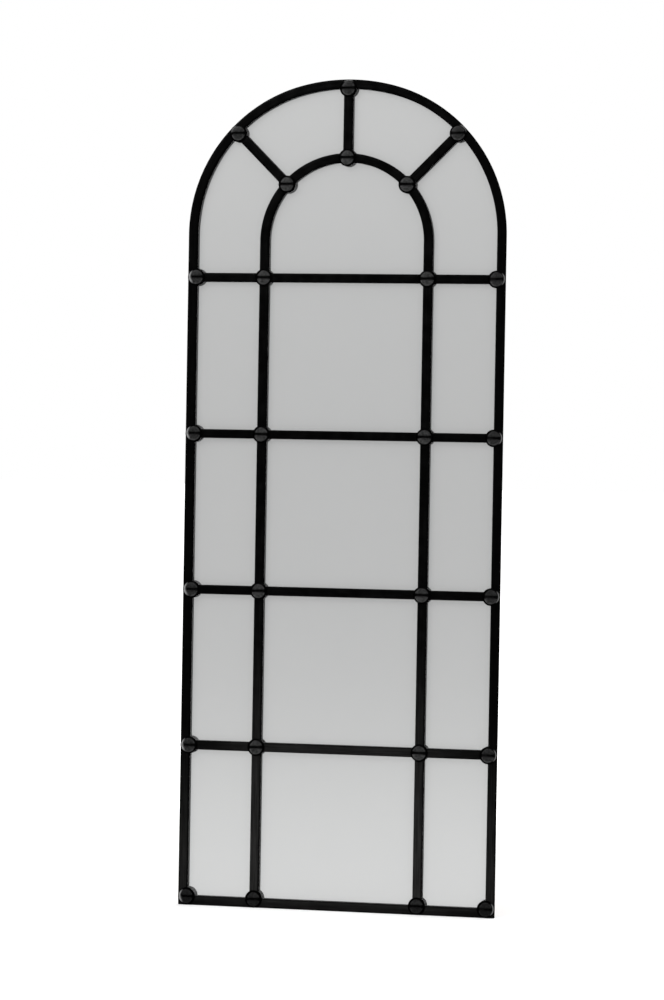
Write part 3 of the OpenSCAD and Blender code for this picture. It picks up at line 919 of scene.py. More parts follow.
# Depth of the die and of the punch, as a number of sheets
DIE_DEPTH, PUNCH_DEPTH = 3.0, 4.0


def die_block(outline, thickness):
    """A closed block with the outline's shape, thicker than the sheet that it cuts."""
    flat = outline.node("GeometryNodeFillCurve", {"mode": "NGONS"}, {0: outline})
    raised = flat.node("GeometryNodeExtrudeMesh", inputs={
        "Mesh": flat, "Offset Scale": thickness * DIE_DEPTH})
    under = flat.node("GeometryNodeFlipFaces", inputs={0: flat})
    both = flat.node("GeometryNodeJoinGeometry", inputs={0: [raised, under]})
    closed = flat.node("GeometryNodeMergeByDistance", inputs={
        0: both, "Distance": DIE_WELD_DISTANCE})
    return flat.node("GeometryNodeTransform", inputs={
        "Geometry": closed, "Rotation": (pi / 2, 0, 0),
        "Translation": vector(flat, y=thickness * (DIE_DEPTH / 2))})


def cut_blank(size, length):
    """The flat blank: a sheet with columns to bend at, cut out by a die with round corners."""
    sheet = length.node("GeometryNodeMeshCube", inputs={
        "Size": vector(length, length, size["Thickness"], size["Width"]),
        "Vertices X": size["Columns"], "Vertices Y": 2, "Vertices Z": SHEET_ROWS})
    outline = length.node("GeometryNodeCurvePrimitiveQuadrilateral", inputs={
        "Width": length, "Height": size["Width"]})
    outline = rounded(outline, CORNER_STEPS, size["Corner Radius"])
    return length.node("GeometryNodeMeshBoolean", {
        "operation": "INTERSECT", "solver": "EXACT"}, {
        "Mesh 2": [sheet, die_block(outline, size["Thickness"])]})


def punch_holes(blank, size, length):
    """The blank with a row of holes across it."""
    punch = length.node("GeometryNodeMeshCylinder", inputs={
        "Vertices": PUNCH_SIDES, "Radius": size["Hole Diameter"] * 0.5,
        "Depth": size["Thickness"] * PUNCH_DEPTH})
    row_start = -0.5 * (size["Hole Count"] - 1.0) * size["Hole Pitch"]
    row = length.node("GeometryNodeMeshLine", inputs={
        "Count": size["Hole Count"],
        "Start Location": vector(length, x=size["Hole Place"] - 0.5 * length, z=row_start),
        "Offset": vector(length, z=size["Hole Pitch"])})
    return blank.node("GeometryNodeMeshBoolean", {
        "operation": "DIFFERENCE", "solver": "EXACT"}, {
        "Mesh 1": blank, "Mesh 2": on_points(row, punch, (pi / 2, 0, 0))})


def bend(flat, line, length):
    """Lays a flat piece along the line: its X runs along the line and its Y stands off it."""
    along, height, side = xyz(flat.node("GeometryNodeInputPosition"))
    point = flat.node("GeometryNodeSampleCurve", {"mode": "LENGTH", "use_all_curves": False}, {
        "Curves": line, "Length": along + 0.5 * length}, "Position")
    ahead_x, ahead_y, _ = xyz(point.out("Tangent"))
    point_x, point_y, _ = xyz(point)
    return flat.node("GeometryNodeSetPosition", inputs={
        "Geometry": flat,
        "Position": vector(flat, point_x - ahead_y * height, point_y + ahead_x * height, side)})


print("a press cuts, punches and bends, with", BEND_STEPS, "steps to a bend")


# %% Tree that cuts and bends a strip
def strip_tree():
    """A flat blank with round corners and a row of holes, bent along a line in the XY plane."""
    tree, size = new_tree(
        "bent_strip", Int=["Hole Count", "Columns"],
        Float=["Width", "Thickness", "Bend Radius", "Corner Radius", "Hole Diameter",
               "Hole Place", "Hole Pitch"])
    seed = size["Geometry"]
    line = seed.node("GeometryNodeMeshToCurve", inputs={0: seed})
    line = rounded(line, BEND_STEPS, size["Bend Radius"])
    length = line.node("GeometryNodeCurveLength", inputs={0: line})
    flat = punch_holes(cut_blank(size, length), size, length)
    close_tree(bend(flat, line, length), size["Material"])
    return tree


STRIP = strip_tree()
print("tree", STRIP.name, "has", len(STRIP.nodes), "nodes")


# %% [markdown]
# ### Setting out
# Studs, clips, screws and bumpers are one pattern each, made once and put on every place that a
# point marks. The point also says which way the piece faces, and a random turn with a fixed seed
# keeps the slots and the crosses from standing all alike. The unevenness comes last, when the
# pieces are real geometry, so no two get the same. An Array modifier keeps to one line and one
# spacing, and an arched frame has neither.


# %% Tree that sets a pattern out
def set_out_tree():
    """One pattern on every point, turned by the point's own angle and by a little at random."""
    tree, size = new_tree(
        "set_out", Object=["Pattern"], Int=["Seed"],
        Float=["Random Turn", "Relief", "Relief Size"])
    seed = size["Geometry"]
    pattern = seed.node("GeometryNodeObjectInfo", inputs={
        "Object": size["Pattern"]}, output="Geometry")
    facing = seed.node("GeometryNodeInputNamedAttribute", {"data_type": "FLOAT"}, {
        "Name": "facing"})
    by_chance = seed.node("FunctionNodeRandomValue", {"data_type": "FLOAT"}, {
        2: size["Random Turn"] * -1.0, 3: size["Random Turn"], "Seed": size["Seed"]}, 1)
    placed = on_points(seed, pattern, vector(seed, y=facing + by_chance))
    close_tree(uneven(placed, size["Relief"], size["Relief Size"]), size["Material"])
    return tree


SET_OUT = set_out_tree()
print("tree", SET_OUT.name, "has", len(SET_OUT.nodes), "nodes")

# %% Setting a pattern out
# A piece without relief still gives the noise a size
NO_RELIEF_SIZE = 8 * MM


def points_object(name, places):
    """Points for the last tree: each place is x, y, z and the angle that it faces."""
    made = mesh_object(name, [place[:3] for place in places])
    facing = made.data.attributes.new("facing", "FLOAT", "POINT")
    facing.data.foreach_set("value", [place[3] for place in places])
    return made


def set_out(name, pattern, places, material, turn=0.0, seed=1, relief=0.0,
            relief_size=NO_RELIEF_SIZE):
    """One object with the pattern at every place."""
    return grow(name, points_object(name + "_points", places), SET_OUT, {
        "Pattern": pattern, "Random Turn": turn, "Seed": seed, "Relief": relief,
        "Relief Size": relief_size, "Material": material})


print("a pattern is set out at places of x, y, z and the angle that they face")

# %% [markdown]
# ## The bars
# Flat iron comes with slightly soft edges and faces that are never quite true. Every bar is one
# sweep along its own line: straight for stiles, rails and cross bars, bent for the two arches.
# Bevelled boxes could be the straight ones, but a sweep also tells the paint how each bar runs.
# The section is wider than the bare iron by a film of paint on both sides, and the outer bars
# lie so that their outer side keeps the outline of the bare iron. The outer arch is drawn as a
# smith would set it out, with three arcs that meet without a kink.

# %% Lines of the bars
PAINT_FILM = 0.25 * MM
OUTER_MID = BAR_W / 2 + PAINT_FILM
ARC_STEP = 3 * MM
SPOKE_OVERLAP = 1.5 * MM


def between(start, end, steps):
    """Evenly spaced values from start to end."""
    return [start + (end - start) * i / steps for i in range(steps + 1)]


def round_line(x, z, radius, start, end, steps):
    """Points of an arc from one angle to another, each a pair of numbers."""
    return [(x + radius * cos(a), z + radius * sin(a)) for a in between(start, end, steps)]


def arc(x, z, radius, start, end):
    """An arc in the plane of the frame, with a point about every 3 mm."""
    steps = max(2, round(abs(end - start) * radius / ARC_STEP))
    return [(u, 0, v) for u, v in round_line(x, z, radius, start, end, steps)]


def straight(x0, z0, x1, z1):
    """A straight line in the plane of the frame."""
    return [(x0, 0, z0), (x1, 0, z1)]


def outer_arch_line():
    """Centre line of the three-centred arch, from right to left."""
    right = arc(HAUNCH_INSET, ARCH_Z, HAUNCH_R - OUTER_MID, 0, SPLIT_ANGLE)
    crown = arc(0, CROWN_Z, CROWN_R - OUTER_MID, SPLIT_ANGLE, pi - SPLIT_ANGLE)
    left = arc(-HAUNCH_INSET, ARCH_Z, HAUNCH_R - OUTER_MID, pi - SPLIT_ANGLE, pi)
    return right + crown[1:] + left[1:]


def distance_to_circle(angle, centre_x, centre_z, radius):
    """How far a ray runs from the point that the spokes aim at to a circle round it."""
    dx, dz = centre_x, centre_z - SPOKE_Z
    ahead = dx * cos(angle) + dz * sin(angle)
    return ahead + sqrt(radius ** 2 - dx ** 2 - dz ** 2 + ahead ** 2)


def spoke_line(angle, centre_x, centre_z, radius):
    """From the inner arch to the outer one, a touch into both so that no gap shows."""
    inner_r = UPRIGHT_X + BAR_W / 2 - SPOKE_OVERLAP
    near = distance_to_circle(angle, 0, SPRING_Z, inner_r)
    far = distance_to_circle(angle, centre_x, centre_z, radius - BAR_W + SPOKE_OVERLAP)
    return straight(
        near * cos(angle), SPOKE_Z + near * sin(angle),
        far * cos(angle), SPOKE_Z + far * sin(angle))


print("a painted bar is", round(2 * OUTER_MID / MM, 2), "mm wide")


# %% The line of every bar
def bar_lines():
    """The centre line of every bar, by the name of its CAD node."""
    edge = HALF_W - BAR_W
    mid = BAR_W / 2
    near = UPRIGHT_X + mid
    lines = {
        "left_stile": straight(OUTER_MID - HALF_W, 0, OUTER_MID - HALF_W, ARCH_Z),
        "right_stile": straight(HALF_W - OUTER_MID, 0, HALF_W - OUTER_MID, ARCH_Z),
        "outer_arch": outer_arch_line(),
        "bottom_rail": straight(-edge, OUTER_MID, edge, OUTER_MID),
        "left_upright": straight(-UPRIGHT_X, BAR_W, -UPRIGHT_X, SPRING_Z),
        "right_upright": straight(UPRIGHT_X, BAR_W, UPRIGHT_X, SPRING_Z),
        "inner_arch": arc(0, SPRING_Z, UPRIGHT_X, 0, pi),
        "left_spoke": spoke_line(pi - SPOKE_ANGLE, -HAUNCH_INSET, ARCH_Z, HAUNCH_R),
        "middle_spoke": spoke_line(pi / 2, 0, CROWN_Z, CROWN_R),
        "right_spoke": spoke_line(SPOKE_ANGLE, HAUNCH_INSET, ARCH_Z, HAUNCH_R)}
    for row, z in enumerate(ROW_Z, start=1):
        lines[f"cross_bar_{row}_left"] = straight(-edge, z, -near, z)
        lines[f"cross_bar_{row}_centre"] = straight(mid - UPRIGHT_X, z, UPRIGHT_X - mid, z)
        lines[f"cross_bar_{row}_right"] = straight(near, z, edge, z)
    return lines


BAR_LINES = bar_lines()
print("bars to make:", len(BAR_LINES))

# %% [markdown]
# ### Cutting
# Some shapes are easier to take away than to build: the round bottom corners of the frame, the
# slot of a stud and the cross of a screw. A cutter is a closed solid, and a Boolean modifier
# takes it out of the piece. A Bevel modifier can break the sharp edges that the cut leaves. Both
# are applied at once, so that each piece stays a plain mesh.

# %% Cutting tools
BREAK_SEGMENTS = 2
BREAK_FROM = radians(50)


def point_outwards(thing):
    """Turns all faces of a closed mesh outwards."""
    work = bmesh.new()
    work.from_mesh(thing.data)
    bmesh.ops.recalc_face_normals(work, faces=work.faces)
    work.to_mesh(thing.data)
    work.free()


def prism(name, outline, y_low, y_high):
    """A solid with this outline in X and Z, from y_low to y_high."""
    count = len(outline)
    points = [(x, y, z) for y in (y_low, y_high) for x, z in outline]
    faces = [(i, (i + 1) % count, count + (i + 1) % count, count + i) for i in range(count)]
    faces += [tuple(range(count)), tuple(range(count, 2 * count))]
    made = mesh_object(name, points, faces=faces)
    point_outwards(made)
    return made


def carve(thing, cutter, break_width=0.0):
    """Cuts the cutter out of a solid and, if asked, breaks the sharp edges."""
    cut = thing.modifiers.new("cut", "BOOLEAN")
    cut.operation = "DIFFERENCE"
    cut.solver = "EXACT"
    cut.object = cutter
    if break_width:
        soften = thing.modifiers.new("soften", "BEVEL")
        soften.width = break_width
        soften.segments = BREAK_SEGMENTS
        soften.limit_method = "ANGLE"
        soften.angle_limit = BREAK_FROM
    mesh = finished_mesh(thing)
    thing.modifiers.clear()
    thing.data = mesh
    bpy.data.objects.remove(cutter)


print("edges over", round(BREAK_FROM / radians(1)), "degrees count as sharp")

# %% Rounding of the two bottom corners
CORNER_R = 2 * MM
GRIND_STEPS = 8


def corner_cutter(side):
    """What is ground off the outer bottom corner of a stile."""
    outline = round_line(HALF_W - CORNER_R, CORNER_R, CORNER_R, 1.5 * pi, 2 * pi, GRIND_STEPS)
    outline += [(HALF_W + MM, CORNER_R), (HALF_W + MM, -MM), (HALF_W - CORNER_R, -MM)]
    return prism("corner_cutter", [(side * x, z) for x, z in outline], -BAR_D, BAR_D)


print("bottom corners have a radius of", round(CORNER_R / MM, 2), "mm")

# %% Bars
BAR_EDGE = 0.9 * MM
BAR_EDGE_STEPS = 2
BAR_FACE_CUTS = 3
BAR_STEP = 3.5 * MM
BAR_RELIEF = 0.22 * MM
BAR_RELIEF_SIZE = 13 * MM
# Each bar starts its streaks this many metres further on, so that no two look the same
STREAK_SHIFT = 5.0

bars = []
for node, points in BAR_LINES.items():
    bar = grow(node + "_iron", path_object(node + "_line", points), SWEEP, {
        "Width": 2 * OUTER_MID, "Depth": BAR_D, "Edge Radius": BAR_EDGE,
        "Edge Steps": BAR_EDGE_STEPS, "Face Cuts": BAR_FACE_CUTS, "Step": BAR_STEP,
        "Start": STREAK_SHIFT * len(bars), "Relief": BAR_RELIEF,
        "Relief Size": BAR_RELIEF_SIZE, "Material": BLACK_IRON})
    if node.endswith("stile"):
        carve(bar, corner_cutter(1 if node.startswith("right") else -1))
    bars.append(dress(bar, "mirror", "black_iron", node, sharp=50))
print("bars:", len(bars), "with", triangles(*bars), "triangles")

# %% [markdown]
# ## The studs
# A stud is a turned shape: a low domed crown, a rounded shoulder, a side that slopes down to a
# short upright rim. It is made by a lathe, which here is a ring of points for each point of the
# profile. A Screw modifier turns a profile too, but here the two middles are closed at once, and
# the cut that follows needs a closed solid. That cut is a slot with round ends, milled across the
# crown, and its edges are broken. The finished pattern is set out on every crossing, with the
# slots level but never quite parallel.

# %% Lathe
NO_RADIUS = 1e-7


def turned(name, profile, steps):
    """A closed solid turned about the Y axis. Each profile point is a radius and a place on Y."""
    points = []
    rings = []
    for radius, y in profile:
        if radius < NO_RADIUS:
            rings.append([len(points)])
            points.append((0, y, 0))
        else:
            rings.append(list(range(len(points), len(points) + steps)))
            points += [(u, y, v) for u, v in round_line(0, 0, radius, 0, 2 * pi, steps)[:-1]]
    faces = []
    for low, high in zip(rings, rings[1:]):
        for k in range(steps):
            pairs = ((low, k), (low, k + 1), (high, k + 1), (high, k))
            corners = [ring[i % steps % len(ring)] for ring, i in pairs]
            faces.append(tuple(dict.fromkeys(corners)))
    made = mesh_object(name, points, faces=faces)
    point_outwards(made)
    return made


print("the lathe takes a radius under", NO_RADIUS, "m as the middle")

# %% Stud pattern
STUD_H = 6.5 * MM
SHOULDER_R = 1.5 * MM
RIM_H = 0.9 * MM
RIM_BREAK = 0.12 * MM
CROWN_SLOPE = radians(9)
SLOT_L = 28 * MM
SLOT_DEPTH = 2 * MM
SLOT_BREAK = 0.22 * MM
CUTTER_PROUD = 2 * MM
STUD_SIDES = 96
DOME_STEPS, SHOULDER_STEPS, SLOPE_STEPS, SLOT_END_STEPS = 9, 6, 5, 12


def stud_profile():
    """From the middle of the crown to the middle of the underside, in radius and height."""
    tilt = pi / 2 - CROWN_SLOPE
    dome_r = SHOULDER_R + CROWN_RADIUS / cos(tilt)
    dome_z = STUD_H - dome_r
    shoulder_z = dome_z + CROWN_RADIUS * sin(tilt) / cos(tilt)
    rim_dx, rim_dz = STUD_R - CROWN_RADIUS, RIM_H - shoulder_z
    side = atan2(rim_dz, rim_dx) + acos(SHOULDER_R / hypot(rim_dx, rim_dz))
    dome = round_line(0, dome_z, dome_r, pi / 2, tilt, DOME_STEPS)
    shoulder = round_line(CROWN_RADIUS, shoulder_z, SHOULDER_R, tilt, side, SHOULDER_STEPS)[1:]
    slope_r, slope_z = shoulder[-1]
    slope = list(zip(
        between(slope_r, STUD_R, SLOPE_STEPS), between(slope_z, RIM_H, SLOPE_STEPS)))[1:]
    rim = [(STUD_R, RIM_H / 2), (STUD_R, RIM_BREAK), (STUD_R - RIM_BREAK, 0), (0, 0)]
    return dome + shoulder + slope + rim


def slot_cutter():
    """A block with round ends, standing in the crown along X."""
    run = (SLOT_L - SLOT_W) / 2
    half = SLOT_W / 2
    right = round_line(run, 0, half, -pi / 2, pi / 2, SLOT_END_STEPS)
    left = round_line(-run, 0, half, pi / 2, 1.5 * pi, SLOT_END_STEPS)
    return prism("slot_cutter", right + left, -STUD_H - CUTTER_PROUD, SLOT_DEPTH - STUD_H)


def stud_pattern():
    """One stud, its underside on the bars. Every point knows its place on the stud."""
    stud = turned("stud_pattern", [(r, -h) for r, h in stud_profile()], STUD_SIDES)
    carve(stud, slot_cutter(), SLOT_BREAK)
    places = [value for vertex in stud.data.vertices for value in vertex.co]
    on_stud = stud.data.attributes.new("on_stud", "FLOAT_VECTOR", "POINT")
    on_stud.data.foreach_set("vector", places)
    return stud


stud = stud_pattern()
print("stud pattern:", triangles(stud), "triangles")


# %% Places of the studs
def stud_spots():
    """Places of the studs by node, read from the boxes of the CAD nodes."""
    edge_x = HALF_W - STUD_R
    columns = (-edge_x, -UPRIGHT_X, UPRIGHT_X, edge_x)
    spots = {"foot_studs": [(x, box_mid("foot_studs").z) for x in columns]}
    for row, z in enumerate(ROW_Z, start=1):
        spots[f"row_{row}_studs"] = [(x, z) for x in columns]
    for node, (x, z) in (("outer_arch_studs", OUTER_STUD), ("inner_arch_studs", INNER_STUD)):
        spots[node] = [(-x, z), (0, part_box(node)[1].z - STUD_R), (x, z)]
    return spots


STUD_SPOTS = stud_spots()
print("studs:", {node: len(spots) for node, spots in STUD_SPOTS.items()})

# %% Studs on every crossing
# How strong the painted glint on the studs' outward side is at each side and on the arch
LEFT_GLINT, RIGHT_GLINT, ARCH_GLINT = 1.0, 0.6, 0.35
STUD_TURN = radians(1.5)
FIRST_STUD_SEED = 11
STUD_RELIEF = 0.18 * MM
STUD_RELIEF_SIZE = 5 * MM


def outward(x, z):
    """The way from a stud to the frame's edge, as long as the painted glint there is strong."""
    if z > ARCH_Z and hypot(abs(x), z - SPRING_Z) > UPRIGHT_X + STUD_R:
        centre_z = CROWN_Z if abs(x) < STUD_R else ARCH_Z
        return Vector((x, 0, z - centre_z)).normalized() * ARCH_GLINT
    if abs(x) > UPRIGHT_X + STUD_R:
        return Vector((RIGHT_GLINT if x > 0 else -LEFT_GLINT, 0, 0))
    return Vector((0, 0, 0))


def mark_outward(thing, spots):
    """Writes the way to the frame's edge down at every point of the studs."""
    ways = []
    for vertex in thing.data.vertices:
        x, z = min(spots, key=lambda spot: hypot(vertex.co.x - spot[0], vertex.co.z - spot[1]))
        ways.extend(outward(x, z))
    marks = thing.data.attributes.new("outward", "FLOAT_VECTOR", "POINT")
    marks.data.foreach_set("vector", ways)


studs = []
for seed, (node, spots) in enumerate(STUD_SPOTS.items(), start=FIRST_STUD_SEED):
    made = set_out(
        node + "_cast", stud, [(x, -BACK, z, 0.0) for x, z in spots], CAST_STUDS,
        turn=STUD_TURN, seed=seed, relief=STUD_RELIEF, relief_size=STUD_RELIEF_SIZE)
    mark_outward(made, spots)
    studs.append(dress(made, "mirror", "cast_studs", node, sharp=38))
bpy.data.objects.remove(stud)
print("studs have", triangles(*studs), "triangles")

# %% [markdown]
# ## Glass, board and tape
# These three are flat sheets whose CAD shape is already right, so they stay and only get their
# finish.

# %% Finishes on the CAD sheets
SHEETS = {
    "mirror_glass": SILVERED_GLASS, "backing_board": PRESSED_BOARD, "glazing_tape": FOAM}
for node, material in SHEETS.items():
    sheet_object = frame["nodes"][node]
    if not sheet_object.material_slots:
        sheet_object.data.materials.append(material)
    for material_slot in sheet_object.material_slots:
        material_slot.material = material
print("finished", ", ".join(SHEETS))

# %% [markdown]
# ## Clips, brackets and screws
# Sixteen stepped clips hold the glass and the board down on the iron, each with one pan-head
# screw. A clip starts as a flat blank: its length is the length of the bent line, so it comes out
# right after bending. It could also be a bent line that is given width and thickness, but then
# its hole would have to be cut in a bent sheet. The same tree makes the two wide hanger brackets
# and their rolled knuckles.

# %% Sizes on the back
BOARD_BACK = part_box("backing_board")[1].y
EDGE_INSET = HALF_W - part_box("backing_board")[1].x
CLIP_T = 1.5 * MM
CLIP_W = 16 * MM
CLIP_REACH = 14 * MM
CLIP_CORNER = 2.5 * MM
FOOT_CLIP_PITCH = 200 * MM
ARCH_CLIP_STEP = radians(31)
CLIP_GAP = 0.3 * MM
FOOT_MARGIN = 0.5 * MM
BRACKET_T = 2 * MM
BRACKET_REACH = 46 * MM
BRACKET_CORNER = 4 * MM
HOLE_D = 4 * MM
STRIP_COLUMNS = 46
RISER = EDGE_INSET - CLIP_GAP


def stile_facing(side):
    """The angle that a stile's outer edge faces."""
    return 0.0 if side > 0 else pi


def edge_places():
    """Every clip's place on the frame's outer edge: x, z and the angle that the edge faces."""
    pane_tops = [z - BAR_W / 2 for z in ROW_Z]
    pane_feet = [BAR_W] + [z + BAR_W / 2 for z in ROW_Z[:-1]]
    places = [(side * HALF_W, (low + high) / 2, stile_facing(side))
              for low, high in zip(pane_feet, pane_tops) for side in (-1, 1)]
    places += [(i * FOOT_CLIP_PITCH, 0.0, -pi / 2) for i in (-1, 0, 1)]
    for i in (-2, -1, 0, 1, 2):
        angle = pi / 2 + i * ARCH_CLIP_STEP
        centre_x, centre_z, radius = 0, CROWN_Z, CROWN_R
        if not SPLIT_ANGLE < angle < pi - SPLIT_ANGLE:
            centre_x = HAUNCH_INSET if cos(angle) > 0 else -HAUNCH_INSET
            centre_z, radius = ARCH_Z, HAUNCH_R
        places.append((centre_x + radius * cos(angle), centre_z + radius * sin(angle), angle))
    return places


clip_places = edge_places()
print("clips:", len(clip_places))


# %% Stepped strips
def stepped_line(thickness, reach):
    """Middle of the sheet: foot on the bar, up past glass and board, and out over the board."""
    half = thickness / 2
    return [
        (FOOT_MARGIN, BACK + half, 0), (RISER - half, BACK + half, 0),
        (RISER - half, BOARD_BACK + half, 0), (EDGE_INSET + reach, BOARD_BACK + half, 0)]


def screw_place(thickness):
    """Distance of a screw from the frame's edge: the middle of the foot."""
    return (FOOT_MARGIN + RISER - thickness) / 2


def stepped_strip(name, thickness, width, reach, holes, hole_pitch, corner):
    """A bent strip drawn from the frame's edge at the origin inwards along X."""
    return grow(name, path_object(name + "_line", stepped_line(thickness, reach)), STRIP, {
        "Width": width, "Thickness": thickness, "Bend Radius": thickness * 1.1,
        "Corner Radius": corner, "Hole Diameter": HOLE_D,
        "Hole Place": screw_place(thickness) - FOOT_MARGIN, "Hole Count": holes,
        "Hole Pitch": hole_pitch, "Columns": STRIP_COLUMNS, "Material": ZINC_PLATE})


print("a clip's screw is", round(screw_place(CLIP_T) / MM, 2), "mm from the edge")

# %% Clips
clip = stepped_strip(
    "clip_pattern", CLIP_T, CLIP_W, CLIP_REACH, holes=1, hole_pitch=0.0, corner=CLIP_CORNER)
clips = dress(
    set_out("zinc_clips", clip, [(x, 0.0, z, pi - a) for x, z, a in clip_places], ZINC_PLATE),
    "mirror", "zinc_steel", "retaining_clips", sharp=35)
bpy.data.objects.remove(clip)
print("clips have", triangles(clips), "triangles")

# %% [markdown]
# ### Pan-head screws
# What shows of a screw is its head: a low dome on a short upright side, with a cross for the
# driver. It comes from the same lathe as the studs, and the cross is cut out of it. A thread could
# be added as a sweep along a spiral, but nobody would ever see it, so the shank is plain.

# %% Screw pattern
SCREW_HEAD_R = 3.5 * MM
SCREW_HEAD_H = 2.4 * MM
SCREW_SHANK_R = 1.75 * MM
SCREW_SHANK_L = 2 * MM
SCREW_BREAK = 0.15 * MM
SCREW_SIDES = 32
HEAD_STEPS = 7
# How much of the head's height is its upright side; the rest is dome
HEAD_SIDE = 0.42
RECESS_WING, RECESS_THIN, RECESS_FLOOR = 1.75 * MM, 0.42 * MM, 0.9 * MM
RECESS_TOP = SCREW_HEAD_H + 0.5 * MM


def cross_recess():
    """Two tapered blades, one across the other, as the bit leaves them."""
    points = []
    faces = []
    levels = (
        (RECESS_FLOOR, RECESS_WING * 0.45, RECESS_THIN * 0.7),
        (RECESS_TOP, RECESS_WING, RECESS_THIN))
    for turn in (0, pi / 2):
        base = len(points)
        points += [(u * reach * cos(turn) - v * half * sin(turn), y,
                    u * reach * sin(turn) + v * half * cos(turn))
                   for y, reach, half in levels for u, v in SQUARE]
        sides = [(k, (k + 1) % 4, 4 + (k + 1) % 4, 4 + k) for k in range(4)]
        faces += [tuple(base + i for i in face) for face in sides + [(3, 2, 1, 0), (4, 5, 6, 7)]]
    made = mesh_object("cross_recess", points, faces=faces)
    point_outwards(made)
    return made


def screw_pattern():
    """A pan-head screw with a cross recess, its head towards +Y and its underside at zero."""
    side, dome = SCREW_HEAD_H * HEAD_SIDE, SCREW_HEAD_H * (1 - HEAD_SIDE)
    profile = [
        (0, -SCREW_SHANK_L), (SCREW_SHANK_R, -SCREW_SHANK_L), (SCREW_SHANK_R, 0),
        (SCREW_HEAD_R - SCREW_BREAK, 0), (SCREW_HEAD_R, SCREW_BREAK)]
    profile += [(SCREW_HEAD_R * cos(a), side + dome * sin(a))
                for a in between(0, pi / 2, HEAD_STEPS)[:-1]]
    head = turned("screw_pattern", profile + [(0, SCREW_HEAD_H)], SCREW_SIDES)
    carve(head, cross_recess())
    return head


screw = screw_pattern()
print("screw pattern:", triangles(screw), "triangles")

# %% Screws
KNUCKLE_NECK = 7 * MM
PIVOT = {side: Vector(joint["pos_m"]) for side, joint in zip(("left", "right"), frame["joints"])}
BRACKET_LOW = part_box("left_hanger_bracket")[0].z
BRACKET_TOP = PIVOT["left"].z - KNUCKLE_NECK
BRACKET_MID = (BRACKET_LOW + BRACKET_TOP) / 2
BRACKET_H = BRACKET_TOP - BRACKET_LOW
BRACKET_SCREW_PITCH = BRACKET_H / 3
CLIP_SCREW_SEED, HANGER_SCREW_SEED = 31, 32


def screw_points(places, thickness):
    """Where the screws stand: at their distance from the edge, on top of their sheet."""
    inset = screw_place(thickness)
    return [(x - inset * cos(angle), BACK + thickness, z - inset * sin(angle), 0.0)
            for x, z, angle in places]


hanger_edges = [(side * HALF_W, BRACKET_MID + k * BRACKET_SCREW_PITCH, stile_facing(side))
                for side in (-1, 1) for k in (-1, 0, 1)]
for node, places, thickness, seed in (
        ("clip_screws", clip_places, CLIP_T, CLIP_SCREW_SEED),
        ("hanger_screws", hanger_edges, BRACKET_T, HANGER_SCREW_SEED)):
    dress(
        set_out(node + "_zinc", screw, screw_points(places, thickness), ZINC_PLATE,
                turn=pi, seed=seed),
        "mirror", "zinc_steel", node, sharp=35)
bpy.data.objects.remove(screw)
print("screws:", len(clip_places) + len(hanger_edges))

# %% [markdown]
# ### Hanger brackets
# A bracket is a wide clip with a narrow tab that is rolled round the ring's wire, like the knuckle
# of a door hinge. One blank with both widths could be cut and bent, but the tree knows only
# straight blanks. So plate and tab are two strips that overlap a little, joined into one mesh.

# %% Hanger brackets
KNUCKLE_W = 14 * MM
KNUCKLE_T = BRACKET_T * 0.98
KNUCKLE_ROLL = radians(300)
KNUCKLE_CORNER = 0.4 * MM
KNUCKLE_COLUMNS = 90
KNUCKLE_STEPS = 40
TAB_OVERLAP = 2 * MM


def knuckle_line(pivot):
    """Middle of the tab: up from the bracket, then rolled nearly all round the ring's wire."""
    start_y = BOARD_BACK + BRACKET_T / 2
    radius = pivot.y - BOARD_BACK - BRACKET_T / 2
    # The strip is bent in its own XY plane: X runs up the wall and Y away from the board
    return [(BRACKET_TOP - TAB_OVERLAP, start_y, 0)] + [
        (pivot.z - radius * sin(a), pivot.y + radius * cos(a), 0)
        for a in between(pi, pi + KNUCKLE_ROLL, KNUCKLE_STEPS)]


def hanger_bracket(side):
    """The stepped plate on its edge of the frame, with the rolled tab joined to it."""
    sign = -1 if side == "left" else 1
    plate = stepped_strip(
        side + "_plate", BRACKET_T, BRACKET_H, BRACKET_REACH, holes=3,
        hole_pitch=BRACKET_SCREW_PITCH, corner=BRACKET_CORNER)
    plate.data.transform(
        Matrix.Translation((sign * HALF_W, 0, BRACKET_MID))
        @ Matrix.Rotation(0 if sign < 0 else pi, 4, "Y"))
    tab_line = path_object(side + "_tab_line", knuckle_line(PIVOT[side]))
    tab = grow(side + "_tab", tab_line, STRIP, {
        "Width": KNUCKLE_W, "Thickness": KNUCKLE_T, "Bend Radius": 0.0,
        "Corner Radius": KNUCKLE_CORNER, "Hole Diameter": HOLE_D, "Hole Place": 0.0,
        "Hole Count": 0, "Hole Pitch": 0.0, "Columns": KNUCKLE_COLUMNS, "Material": ZINC_PLATE})
    # From the strip's own axes to the frame's: X up, Y stays, Z across
    tab.data.transform(
        Matrix.Translation((PIVOT[side].x, 0, 0)) @ Matrix.Rotation(-pi / 2, 4, "Y"))
    joined = bmesh.new()
    joined.from_mesh(plate.data)
    joined.from_mesh(tab.data)
    joined.to_mesh(plate.data)
    joined.free()
    bpy.data.objects.remove(tab)
    plate.name = side + "_hanger_plate"
    return plate


for side in PIVOT:
    bracket = dress(
        hanger_bracket(side), "mirror", "zinc_steel", side + "_hanger_bracket", sharp=35)
    print(bracket.name, "has", triangles(bracket), "triangles")

# %% [markdown]
# ## Hanging rings
# Each ring is a length of wire bent to a D. Its straight side runs through the knuckle, so it can
# swing from hanging down to folded up against the board. The sweep tree makes it: a square
# section whose edge radius is nearly half its width is a round wire. A torus would be quicker,
# but its straight side would have to be built in by hand.

